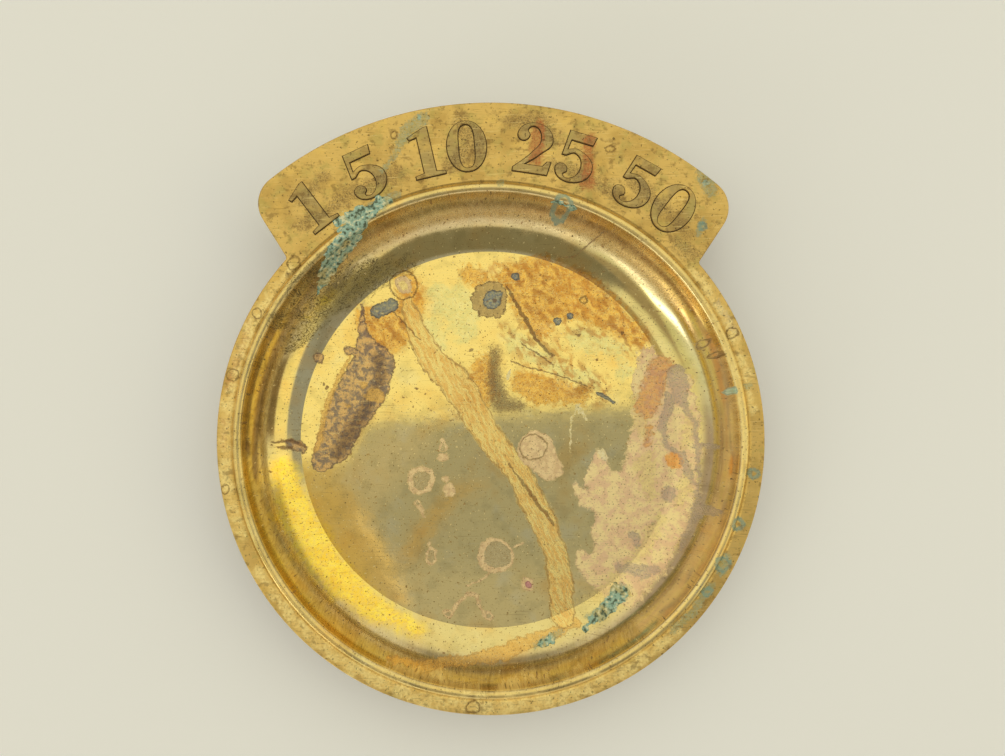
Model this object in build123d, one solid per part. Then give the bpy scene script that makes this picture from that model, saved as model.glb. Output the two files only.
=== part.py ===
"""Round brass coin tray with an arched tab and a felt pad under its foot.

Millimetres. +Z is up and +Y points at the tab. The origin lies on the dish's axis,
on the plane that the felt pad rests on.
"""

from build123d import *
from math import asin, cos, radians, sin, sqrt
import os

# Round dish, as seen from above
dish_diameter = 127.0
rim_land_width = 3.7          # flat land from the bead to the outer edge
wall_run = 10.5               # floor's crease to the inside of the bead, measured flat

# Heights and walls of the casting
well_depth = 14.0             # rim land down to the floor
rim_thickness = 2.2
wall_thickness = 2.0
floor_thickness = 1.8         # brass left above the felt's recess
rim_edge_bevel = 0.45
under_rim_bevel = 1.5

# Rounded bead round the mouth of the well, with a fine groove along its foot
bead_radius = 1.15
bead_rise = 0.6               # crest above the rim land
quirk_depth = 0.3
quirk_width = 0.6

# Turned foot ring, and the recess inside it that takes the felt
foot_inset = 1.2              # foot's outer edge, inside the floor's crease
foot_width = 4.0
foot_edge_bevel = 0.25
recess_depth = 1.25

# Felt disc and the film that bonds it
felt_thickness = 1.6
adhesive_thickness = 0.15
felt_side_gap = 0.3           # felt's edge to the recess wall
adhesive_side_gap = 1.0       # film's edge to the felt's edge
felt_edge_bevel = 0.3

# Arched tab behind the rim
tab_reach = 15.0              # beyond the rim, on the centre line
tab_arc_radius = 82.4
tab_spread_angle = 97.4       # degrees of the rim that the tab's root spans
tab_flare_angle = 32.7        # degrees between a side edge and the centre line
tab_corner_radius = 7.0
tab_notch_radius = 0.8        # where a side edge meets the round rim

# Radii that follow from the sizes above
rim_radius = dish_diameter / 2
bead_root_radius = rim_radius - rim_land_width
bead_drop = bead_radius - bead_rise
bead_centre_radius = bead_root_radius - sqrt(bead_radius**2 - bead_drop**2)
wall_top_radius = bead_centre_radius - bead_radius
floor_radius = wall_top_radius - wall_run
foot_outer_radius = floor_radius - foot_inset
recess_radius = foot_outer_radius - foot_width
felt_radius = recess_radius - felt_side_gap
adhesive_radius = felt_radius - adhesive_side_gap

# Heights that follow, measured from the felt's resting face
adhesive_top = felt_thickness + adhesive_thickness
foot_height = adhesive_top - recess_depth
floor_height = adhesive_top + floor_thickness
land_height = floor_height + well_depth
land_underside = land_height - rim_thickness
bead_centre_height = land_height - bead_drop

# The well's wall is one arc, upright where it runs into the bead
wall_rise = bead_centre_height - floor_height
wall_arc_radius = (wall_run**2 + wall_rise**2) / (2 * wall_run)
wall_centre = (wall_top_radius - wall_arc_radius, bead_centre_height)

# Its outside is an arc round the same centre, from the foot up to the rim's underside
outer_arc_radius = wall_arc_radius + wall_thickness
outer_top_radius = wall_centre[0] + sqrt(
    outer_arc_radius**2 - (bead_centre_height - land_underside) ** 2
)
shoulder_height = bead_centre_height - sqrt(
    outer_arc_radius**2 - (foot_outer_radius - wall_centre[0]) ** 2
)

# Turned dish and cut-out rim plate are one piece that is drawn in two, split on flat land
split_radius = (outer_top_radius + under_rim_bevel + rim_radius - rim_edge_bevel) / 2

# Where a side edge of the tab meets the round rim
tab_root = (
    rim_radius * sin(radians(tab_spread_angle / 2)),
    rim_radius * cos(radians(tab_spread_angle / 2)),
)


def on_arc(centre, radius, angle):
    """The point of a circle at an angle in radians."""
    return (centre[0] + radius * cos(angle), centre[1] + radius * sin(angle))


def arc_between(centre, radius, start_angle, end_angle):
    """An arc round a centre, from one angle in radians to another."""
    return ThreePointArc(
        on_arc(centre, radius, start_angle),
        on_arc(centre, radius, (start_angle + end_angle) / 2),
        on_arc(centre, radius, end_angle),
    )


def corner_at(sketch, radius, height):
    """The corner of a half section that lies closest to a radius and a height."""
    return min(
        sketch.vertices(),
        key=lambda corner: (corner.X - radius) ** 2 + (corner.Y - height) ** 2,
    )


def turned_dish():
    """Floor, wall, bead, groove, foot ring and the inner part of the rim, turned."""
    straight_down = radians(-90)
    floor_angle = straight_down + asin((floor_radius - wall_centre[0]) / wall_arc_radius)
    shoulder_angle = straight_down + asin(
        (foot_outer_radius - wall_centre[0]) / outer_arc_radius
    )
    rim_angle = -asin((bead_centre_height - land_underside) / outer_arc_radius)
    bead_centre = (bead_centre_radius, bead_centre_height)
    bead_end_angle = asin((bead_drop - quirk_depth) / bead_radius)
    quirk_bottom = on_arc(bead_centre, bead_radius, bead_end_angle)
    outline = (
        (bead_root_radius + quirk_width, land_height),
        (split_radius, land_height),
        (split_radius, land_underside),
        (outer_top_radius, land_underside),
    )
    base = (
        (foot_outer_radius, shoulder_height),
        (foot_outer_radius, foot_height),
        (recess_radius, foot_height),
        (recess_radius, adhesive_top),
        (0, adhesive_top),
        (0, floor_height),
        (floor_radius, floor_height),
    )
    with BuildPart() as dish:
        with BuildSketch(Plane.XZ) as section:
            with BuildLine():
                arc_between(wall_centre, wall_arc_radius, floor_angle, 0)
                arc_between(bead_centre, bead_radius, radians(180), bead_end_angle)
                Polyline(quirk_bottom, *outline)
                arc_between(wall_centre, outer_arc_radius, rim_angle, shoulder_angle)
                Polyline(*base)
            make_face()
            chamfer(corner_at(section, outer_top_radius, land_underside), under_rim_bevel)
            chamfer(corner_at(section, foot_outer_radius, foot_height), foot_edge_bevel)
            chamfer(corner_at(section, recess_radius, foot_height), foot_edge_bevel)
        revolve(axis=Axis.Z)
    return dish.part


def tab_outline():
    """The tab seen from above, with its root carried in under the rim."""
    lean = radians(tab_flare_angle)
    along = (sin(lean), cos(lean))
    inner = (
        tab_root[0] - along[0] * rim_land_width,
        tab_root[1] - along[1] * rim_land_width,
    )
    crown = (0, rim_radius + tab_reach)
    arc_centre_y = crown[1] - tab_arc_radius
    # A side edge runs from the root until it meets the outer arc
    ahead = tab_root[0] * along[0] + (tab_root[1] - arc_centre_y) * along[1]
    inside = tab_arc_radius**2 - tab_root[0] ** 2 - (tab_root[1] - arc_centre_y) ** 2
    side_length = sqrt(ahead**2 + inside) - ahead
    corner = (
        tab_root[0] + along[0] * side_length,
        tab_root[1] + along[1] * side_length,
    )
    with BuildSketch() as outline:
        with BuildLine():
            Polyline((-corner[0], corner[1]), (-inner[0], inner[1]), inner, corner)
            ThreePointArc(corner, crown, (-corner[0], corner[1]))
        make_face()
        fillet(outline.vertices().group_by(Axis.Y)[-1], tab_corner_radius)
    return outline.sketch


def rim_plate():
    """The outer part of the rim and its tab: one plate with bevelled edges."""
    with BuildPart() as plate:
        with BuildSketch(Plane.XY.offset(land_underside)) as plan:
            Circle(rim_radius)
            add(tab_outline())
            notches = plan.vertices().sort_by_distance((tab_root[0], tab_root[1]))[:1]
            notches += plan.vertices().sort_by_distance((-tab_root[0], tab_root[1]))[:1]
            fillet(notches, tab_notch_radius)
            Circle(split_radius, mode=Mode.SUBTRACT)
        extrude(amount=rim_thickness)
        top_and_underside = plate.faces().filter_by(Axis.Z)
        outer_edges = [face.outer_wire().edges() for face in top_and_underside]
        chamfer(outer_edges[0] + outer_edges[1], rim_edge_bevel)
    return plate.part


def tray_body():
    """The brass casting: well, bead, rim, tab and foot ring in one piece."""
    return turned_dish() + rim_plate()


def disc(radius, thickness, underside):
    """A flat round disc on the dish's axis."""
    return Pos(0, 0, underside + thickness / 2) * Cylinder(radius, thickness)


def base_felt():
    """The felt disc, with its lower edge worn to a bevel."""
    felt = disc(felt_radius, felt_thickness, 0)
    return chamfer(felt.edges().sort_by(Axis.Z)[0], felt_edge_bevel)


def felt_adhesive():
    """The thin film that bonds the felt to the roof of the recess."""
    return disc(adhesive_radius, adhesive_thickness, felt_thickness)


pieces = {
    "tray_body": tray_body(),
    "base_felt": base_felt(),
    "felt_adhesive": felt_adhesive(),
}

os.makedirs("parts", exist_ok=True)
for name, piece in pieces.items():
    export_step(piece, f"parts/{name}.step")
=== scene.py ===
"""Looks of a round brass coin tray with an arched tab, on a felt pad.

Metres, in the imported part's frame: +Z is up, +Y points at the tab, and the origin lies on
the dish's axis, on the plane that the felt rests on. The patterns on the casting are worked
out in millimetres, as seen from above, and run on down the rim's edge.
"""

import logging
from collections.abc import Mapping, Sequence
from dataclasses import dataclass
from enum import Enum
from math import asin, atan2, ceil, cos, pi, radians, sin, sqrt
from typing import Any

import bmesh
import bpy
from mathutils import Matrix, Vector, noise


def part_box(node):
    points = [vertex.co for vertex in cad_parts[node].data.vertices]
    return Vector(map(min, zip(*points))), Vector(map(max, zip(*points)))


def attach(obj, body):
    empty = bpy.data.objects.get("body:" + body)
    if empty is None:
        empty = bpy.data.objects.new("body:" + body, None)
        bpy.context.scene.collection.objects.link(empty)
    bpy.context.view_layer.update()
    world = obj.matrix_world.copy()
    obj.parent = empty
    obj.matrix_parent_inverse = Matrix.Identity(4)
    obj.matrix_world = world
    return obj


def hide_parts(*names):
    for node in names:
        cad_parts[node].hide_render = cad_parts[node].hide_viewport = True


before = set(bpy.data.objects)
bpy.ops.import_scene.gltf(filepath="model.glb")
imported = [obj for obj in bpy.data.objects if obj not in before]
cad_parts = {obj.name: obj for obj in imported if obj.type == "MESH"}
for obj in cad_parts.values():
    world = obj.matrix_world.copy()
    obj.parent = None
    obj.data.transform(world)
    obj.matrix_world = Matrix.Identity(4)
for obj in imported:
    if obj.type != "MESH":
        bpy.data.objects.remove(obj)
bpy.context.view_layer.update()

log = logging.getLogger("coin_tray")

MM = 0.001
PER_MM = 1 / MM
FULL_TURN = 2 * pi
TURN_STEPS = 288                  # faces round the dish
ARC_STEP = radians(3)             # the most that an arc turns from point to point
SHARP_ANGLE = radians(12.5)       # an edge that turns more than this stays sharp
TOUCHING = 0.001 * MM             # points closer than this are one point
LARGE_FACES_FIRST = 80            # weight of the shading's normals, where 50 is even
UP = Vector((0, 0, 1))
FRONT = Vector((0, -1, 0))

# Places of the Mix node's sockets when it mixes colours, and when it mixes numbers
COLOUR_FACTOR, COLOUR_A, COLOUR_B, COLOUR_RESULT = 0, 6, 7, 2
NUMBER_FACTOR, NUMBER_A, NUMBER_B = 0, 2, 3
COLOUR_MIX = {"output": COLOUR_RESULT, "data_type": "RGBA"}
SMOOTH = {"interpolation_type": "SMOOTHSTEP"}

Place = tuple[float, float]
Stop = tuple[float, float, float]
Socket = bpy.types.NodeSocket


def linear(colour: str) -> tuple[float, float, float, float]:
    """Turns an sRGB hex colour to linear red, green, blue and an alpha of 1.

    Args:
        colour: Six hex digits after a number sign.

    Returns:
        The linear colour.
    """
    parts = [int(colour[start:start + 2], 16) / 255 for start in (1, 3, 5)]
    red, green, blue = (
        part / 12.92 if part <= 0.04045 else ((part + 0.055) / 1.055) ** 2.4
        for part in parts
    )
    return red, green, blue, 1.0


class Canvas:
    """A node tree that is being filled."""

    def __init__(self, tree: bpy.types.NodeTree) -> None:
        """Empties the tree and keeps it."""
        self.tree = tree
        tree.nodes.clear()

    def add(
        self,
        kind: str,
        inputs: Sequence[Any] | Mapping[Any, Any] = (),
        output: int | str = 0,
        **settings: Any,
    ) -> Socket:
        """Adds a node with its settings and links.

        Args:
            kind: The node's type, without the ShaderNode at its start.
            inputs: Sockets or constants, in order, or by the input's name or number.
            output: The name or number of the output that is wanted.
            settings: Properties of the node.

        Returns:
            The wanted output, or the first input of a node that has no output.
        """
        node = self.tree.nodes.new(kind if kind.startswith("Node") else "ShaderNode" + kind)
        for name, value in settings.items():
            setattr(node, name, value)
        pairs = inputs.items() if isinstance(inputs, Mapping) else enumerate(inputs)
        for place, value in pairs:
            if isinstance(value, Socket):
                self.tree.links.new(value, node.inputs[place])
            else:
                node.inputs[place].default_value = value
        return node.outputs[output] if node.outputs else node.inputs[0]


@dataclass(frozen=True)
class Spot:
    """A round spot, or a streak that runs from one point to another and tapers."""

    start: Place
    radius: float
    end: Place
    end_radius: float


def streaks(*paths: Sequence[Stop]) -> tuple[Spot, ...]:
    """Draws streaks. A path of one stop is a round spot.

    Args:
        paths: The stops of each streak, every one of them an x, a y and half a width.

    Returns:
        The tapered spots that join the stops.
    """
    return tuple(
        Spot(start[:2], start[2], end[:2], end[2])
        for path in paths for start, end in zip(path[:-1] or path, path[1:] or path)
    )


def spot_group() -> bpy.types.NodeTree:
    """Makes, once, the node group that measures how far a point is outside a spot.

    Returns:
        The group.
    """
    name = "spot_distance"
    if name in bpy.data.node_groups:
        return bpy.data.node_groups[name]
    group = bpy.data.node_groups.new(name, "ShaderNodeTree")
    for socket in ("Point", "Start", "Run", "Reach"):
        group.interface.new_socket(socket, in_out="INPUT", socket_type="NodeSocketVector")
    for socket in ("Radius", "Gain"):
        group.interface.new_socket(socket, in_out="INPUT", socket_type="NodeSocketFloat")
    group.interface.new_socket("Distance", in_out="OUTPUT", socket_type="NodeSocketFloat")
    canvas = Canvas(group)
    given = group.nodes.new("NodeGroupInput").outputs
    arm = canvas.add("VectorMath", [given["Point"], given["Start"]], operation="SUBTRACT")
    along = canvas.add("VectorMath", [arm, given["Reach"]], "Value", operation="DOT_PRODUCT")
    # A clamped node would be worked out late, and the shader would run out of room
    ahead = canvas.add("Math", [along, 0.0], operation="MAXIMUM")
    share = canvas.add("Math", [ahead, 1.0], operation="MINIMUM")
    nearest = canvas.add("VectorMath", {0: given["Run"], "Scale": share}, operation="SCALE")
    gap = canvas.add("VectorMath", [arm, nearest], "Value", operation="DISTANCE")
    width = canvas.add("Math", [share, given["Gain"], given["Radius"]], operation="MULTIPLY_ADD")
    distance = canvas.add("Math", [gap, width], operation="SUBTRACT")
    canvas.add("NodeGroupOutput", {"Distance": distance})
    return group


def spot_field(canvas: Canvas, point: Socket, spots: Sequence[Spot], melt: float) -> Socket:
    """Measures how far a point is outside the nearest spot, below zero inside.

    Args:
        canvas: The tree that gets the nodes.
        point: The point that is measured.
        spots: The spots, in the point's unit.
        melt: How far apart spots start to run into one another.

    Returns:
        The distance.
    """
    nearest = None
    for each in spots:
        run = Vector(each.end) - Vector(each.start)
        start = (*each.start, 0)
        if run.length:
            reach = run / run.length_squared
            sizes = [start, (*run, 0), (*reach, 0), each.radius]
            gain = each.end_radius - each.radius
            gap = canvas.add("Group", [point, *sizes, gain], node_tree=spot_group())
        else:
            gap = canvas.add("VectorMath", [point, start], "Value", operation="DISTANCE")
            gap = canvas.add("Math", [gap, each.radius], operation="SUBTRACT")
        nearest = gap if nearest is None else canvas.add(
            "Math", [nearest, gap, melt], operation="SMOOTH_MIN"
        )
    return nearest


class Finish:
    """A surface finish. Each kind says what its shader is given."""

    name = "finish"

    def paint(self, canvas: Canvas) -> dict[str, Any]:
        """Gives the inputs of the shader.

        Args:
            canvas: The tree that gets the nodes.

        Returns:
            Sockets and constants, by the input's name.
        """
        raise NotImplementedError

    def material(self) -> bpy.types.Material:
        """Makes the finish's material, once.

        Returns:
            The material.
        """
        if self.name in bpy.data.materials:
            return bpy.data.materials[self.name]
        material = bpy.data.materials.new(self.name)
        material.use_nodes = True
        canvas = Canvas(material.node_tree)
        shader = canvas.add("BsdfPrincipled", self.paint(canvas))
        canvas.add("OutputMaterial", {"Surface": shader})
        return material


@dataclass(frozen=True)
class Coat:
    """How a surface looks, in the sockets or constants that a shader takes."""

    colour: Any
    metallic: Any
    roughness: Any

    def covered(self, canvas: Canvas, top: "Coat", share: Socket | float) -> "Coat":
        """Lays another coat on this one.

        Args:
            canvas: The tree that gets the nodes.
            top: The coat on top.
            share: How far it covers this one, from 0 to 1.

        Returns:
            The two together.
        """
        colour = canvas.add(
            "Mix", {COLOUR_FACTOR: share, COLOUR_A: self.colour, COLOUR_B: top.colour},
            **COLOUR_MIX,
        )
        metallic, roughness = (
            canvas.add("Mix", {NUMBER_FACTOR: share, NUMBER_A: low, NUMBER_B: high})
            for low, high in (
                (self.metallic, top.metallic), (self.roughness, top.roughness)
            )
        )
        return Coat(colour, metallic, roughness)


@dataclass(frozen=True)
class Patina:
    """How one kind of tarnish or deposit looks on brass. Lengths are in millimetres."""

    colour: str
    mottle: str                   # second colour, in patches
    speck: str                    # colour of fine specks, and of the line along the edge
    metallic: float = 0.5
    roughness: float = 0.35
    cover: float = 0.9            # how far it hides the brass
    thin: float = 0.2             # how much less it hides where it is thinnest
    border_cover: float = 0.0     # how strongly its edge is drawn in the specks' colour
    border_width: float = 0.35
    softness: float = 0.3
    grain: float = 1.5            # size of the mottling
    lie: float = 0.0              # direction of the mottling, in degrees
    stretch: float = 1.0          # how much longer the mottling is along it
    melt: float = 0.6             # spots this close run together
    ragged: float = 1.0           # how far the mottling moves the edge
    hollow: float = 0.0           # half the line's width, where only the edge has dried

    # Levels of the noise at which the patches, the specks and the thin places start and are full
    PATCH_LEVELS = (0.42, 0.58)
    SPECK_LEVELS = (0.6, 0.68)
    THIN_LEVELS = (0.38, 0.58)
    SPECK_STRENGTH = 0.7
    SPECKS_TO_A_GRAIN = 5.0

    def lay(self, canvas: Canvas, below: Coat, point: Socket, distance: Socket) -> Coat:
        """Lays the patina on a coat.

        Args:
            canvas: The tree that gets the nodes.
            below: The coat that it covers.
            point: The place on the tray, in millimetres.
            distance: How far that place is outside the patina.

        Returns:
            The two together.
        """
        pattern = canvas.add(
            "Mapping", {
                "Vector": point, "Rotation": (0, 0, radians(self.lie)),
                "Scale": (self.grain * self.stretch, self.grain, self.grain),
            }, vector_type="TEXTURE",
        )
        grains = canvas.add("TexNoise", {"Vector": pattern, "Scale": 1.0, "Detail": 6.0,
                                         "Roughness": 0.66})
        moved = canvas.add("Math", [grains, self.ragged, distance], operation="MULTIPLY_ADD")
        distance = canvas.add("Math", [moved, self.ragged / 2], operation="SUBTRACT")
        if self.hollow:
            distance = canvas.add("Math", [distance], operation="ABSOLUTE")
            distance = canvas.add("Math", [distance, self.hollow], operation="SUBTRACT")
        inside = canvas.add(
            "MapRange", [distance, -self.softness / 2, self.softness / 2, 1.0, 0.0], **SMOOTH,
        )
        patches = canvas.add("MapRange", [grains, *self.PATCH_LEVELS, 0.0, 1.0], **SMOOTH)
        specks = canvas.add(
            "TexNoise", {"Vector": pattern, "Scale": self.SPECKS_TO_A_GRAIN, "Detail": 3.0}
        )
        fine = canvas.add(
            "MapRange", [specks, *self.SPECK_LEVELS, 0.0, self.SPECK_STRENGTH], **SMOOTH
        )
        edge_gap = canvas.add("Math", [distance, self.border_width / 2], operation="ADD")
        off_edge = canvas.add("Math", [edge_gap], operation="ABSOLUTE")
        edge = canvas.add(
            "MapRange", [off_edge, 0.0, self.border_width, self.border_cover, 0.0], **SMOOTH,
        )
        marked = canvas.add("Math", [fine, edge], operation="MAXIMUM")
        tint = linear(self.colour)
        for amount, other in ((patches, self.mottle), (marked, self.speck)):
            tint = canvas.add(
                "Mix", {COLOUR_FACTOR: amount, COLOUR_A: tint, COLOUR_B: linear(other)},
                **COLOUR_MIX,
            )
        hiding = canvas.add(
            "MapRange", [specks, *self.THIN_LEVELS, self.cover, self.cover - self.thin], **SMOOTH,
        )
        share = canvas.add("Math", [inside, hiding], operation="MULTIPLY")
        top = Coat(tint, self.metallic, self.roughness)
        return below.covered(canvas, top, share)


class Tarnish(Enum):
    """The kinds of tarnish and deposit on the tray, and the painted highlights."""

    # Three colours, then metallic, roughness, cover, thin and what isn't as usual
    AMBER = Patina(
        "#e2a53c", "#b8762a", "#744420", 0.95, 0.13, 0.85, 0.4, border_cover=0.3, border_width=0.5,
        softness=1.6, melt=3.5, ragged=8.0,
    )
    CLEANED = Patina(
        "#cfca8c", "#e0d89a", "#b0a468", 1.0, 0.12, 0.75, 0.3, softness=2.0, grain=3.0, melt=4.0,
        ragged=7.0,
    )
    VIVID = Patina(
        "#ffdf4a", "#f8cc36", "#c88a20", 1.0, 0.12, 0.85, 0.25, softness=3.0, grain=3.0, melt=3.0,
        ragged=5.0,
    )
    UMBER = Patina(
        "#a38c4c", "#7c6430", "#5c4826", 1.0, 0.16, 0.6, 0.3, softness=4.0, lie=84.0, stretch=7.0,
        melt=3.0, ragged=5.0,
    )
    VEIN = Patina(
        "#c07a2c", "#9a5c26", "#6a4020", 0.85, 0.17, 0.6, 0.6, softness=4.0, grain=9.0, lie=-52.0,
        stretch=1.6, melt=3.5, ragged=9.0,
    )
    HAZE = Patina(
        "#dcc694", "#cdb27c", "#a88c58", 0.6, 0.38, 0.75, 0.3, softness=3.0, grain=2.0, melt=2.0,
        ragged=4.0,
    )
    SMEAR = Patina(
        "#57492a", "#9c8848", "#2e2818", 0.6, 0.35, 0.92, 0.7, softness=2.2, grain=1.2, lie=38.0,
        stretch=2.0, melt=2.0, ragged=8.0,
    )
    PLUM = Patina(
        "#e0b274", "#7a6866", "#503c38", 0.42, 0.34, 0.95, 0.2, border_cover=0.8, border_width=0.4,
        softness=0.4, ragged=2.0,
    )
    SCORCH = Patina(
        "#6e5038", "#3e3438", "#2c2426", 0.5, 0.32, 0.92, 0.45, softness=2.6, grain=0.7, ragged=5.0
    )
    GRUNGE = Patina(
        "#80643c", "#5a4834", "#44362a", 0.5, 0.5, 0.72, 0.5, softness=2.4, melt=1.5, ragged=8.0,
    )
    COPPER = Patina(
        "#b8683a", "#a05834", "#7c4a2c", 0.7, 0.42, 0.85, 0.35, softness=1.2, ragged=3.0,
    )
    HONEY = Patina(
        "#ecbc62", "#dcab54", "#8a5f28", 0.55, 0.28, 0.88, 0.3, border_cover=0.55,
        border_width=0.25, softness=0.4, ragged=2.4,
    )
    FIBRES = Patina(
        "#ffe48c", "#f2bc60", "#8e6630", 0.25, 0.34, 0.93, 0.3, border_cover=0.8, border_width=0.4,
        softness=0.35, grain=0.7, lie=-62.0, stretch=7.0, ragged=2.0,
    )
    ROSE = Patina(
        "#ffe6ac", "#f0c8a4", "#c8a488", 0.1, 0.4, 0.88, 0.12, border_cover=0.45, border_width=0.4,
        softness=0.7, grain=3.0, melt=2.5, ragged=6.0,
    )
    STRAW = Patina(
        "#f0d88a", "#dcc47c", "#a88f58", 0.4, 0.32, 0.7, 0.35, border_cover=0.3, border_width=0.4,
        softness=1.6, melt=2.0, ragged=7.0,
    )
    RUST = Patina(
        "#eaa454", "#d49266", "#94624c", 0.35, 0.36, 0.88, 0.35, border_cover=0.5,
        border_width=0.5, softness=0.9, ragged=6.0,
    )
    EMBER = Patina(
        "#ffbc64", "#f6a84c", "#d98a3c", 0.2, 0.4, 0.95, 0.1, border_cover=0.2, softness=0.5,
        ragged=1.5,
    )
    ASH = Patina(
        "#a8968c", "#c0a896", "#76666a", 0.3, 0.42, 0.85, 0.4, border_cover=0.3, softness=0.6,
        melt=1.0, ragged=3.5,
    )
    HALO = Patina(
        "#c8a868", "#b3965f", "#6b5230", 0.4, 0.36, 0.95, 0.1, border_cover=0.85, border_width=0.3,
        softness=0.25, ragged=2.5,
    )
    TAN = Patina(
        "#f6d8a6", "#e0be92", "#94784e", 0.2, 0.36, 0.95, 0.15, border_cover=0.4,
        border_width=0.25, softness=0.25, melt=0.3, ragged=1.4,
    )
    BARE = Patina(
        "#e2cc84", "#d3bb74", "#b89c58", 1.0, 0.1, 0.9, 0.25, border_cover=0.25, border_width=0.3,
        grain=0.7, melt=0.3, ragged=1.2,
    )
    # Painted highlight: a pale, bright colour that stands in for the light which the rim and the
    # bead's crest mirror
    PAINTED_HIGHLIGHT = Patina(
        "#ffe69a", "#f4d280", "#b8985c", 0.25, 0.5, 0.9, 0.3, softness=1.8, grain=3.0, melt=1.0,
        ragged=4.0,
    )
    RINGLET = Patina(
        "#7e5c26", "#6a4c24", "#4c3820", 0.5, 0.42, 0.85, 0.3, melt=0.2, ragged=0.9, hollow=0.2,
    )
    PINK = Patina(
        "#d88f9c", "#bf8090", "#8a4a50", 0.2, 0.5, 0.95, 0.2, border_cover=0.7, border_width=0.3,
        softness=0.2, melt=0.1, ragged=0.5,
    )
    CHALK = Patina(
        "#f0e8c4", "#d8cc98", "#b8a878", 0.2, 0.5, 0.9, 0.5, softness=0.25, grain=0.7, melt=0.2,
    )
    SLATE = Patina(
        "#74828e", "#b2ae8e", "#3a4046", 0.1, 0.6, 0.97, 0.15, border_cover=0.85, softness=0.2,
        grain=0.7, ragged=1.2,
    )
    VERDIGRIS = Patina(
        "#8faea0", "#8e9668", "#56685c", 0.15, 0.7, 0.8, 0.6, border_cover=0.4, border_width=0.3,
        softness=0.7, grain=0.7, ragged=3.0,
    )
    SEEPAGE = Patina(
        "#62908f", "#86a698", "#44605c", 0.1, 0.65, 0.9, 0.4, softness=0.4, grain=0.7, melt=0.2,
        ragged=1.6, hollow=0.5,
    )
    BLOOM = Patina(
        "#c6e6da", "#a4ccbc", "#4a6460", 0.0, 0.8, 0.95, 0.3, border_cover=0.5, border_width=0.25,
        grain=0.7, ragged=1.2,
    )
    CRACK = Patina(
        "#7a5230", "#5a4028", "#4c3420", 0.4, 0.5, 0.85, 0.3, softness=0.25, grain=0.7, melt=0.2,
        ragged=0.6,
    )


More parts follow.
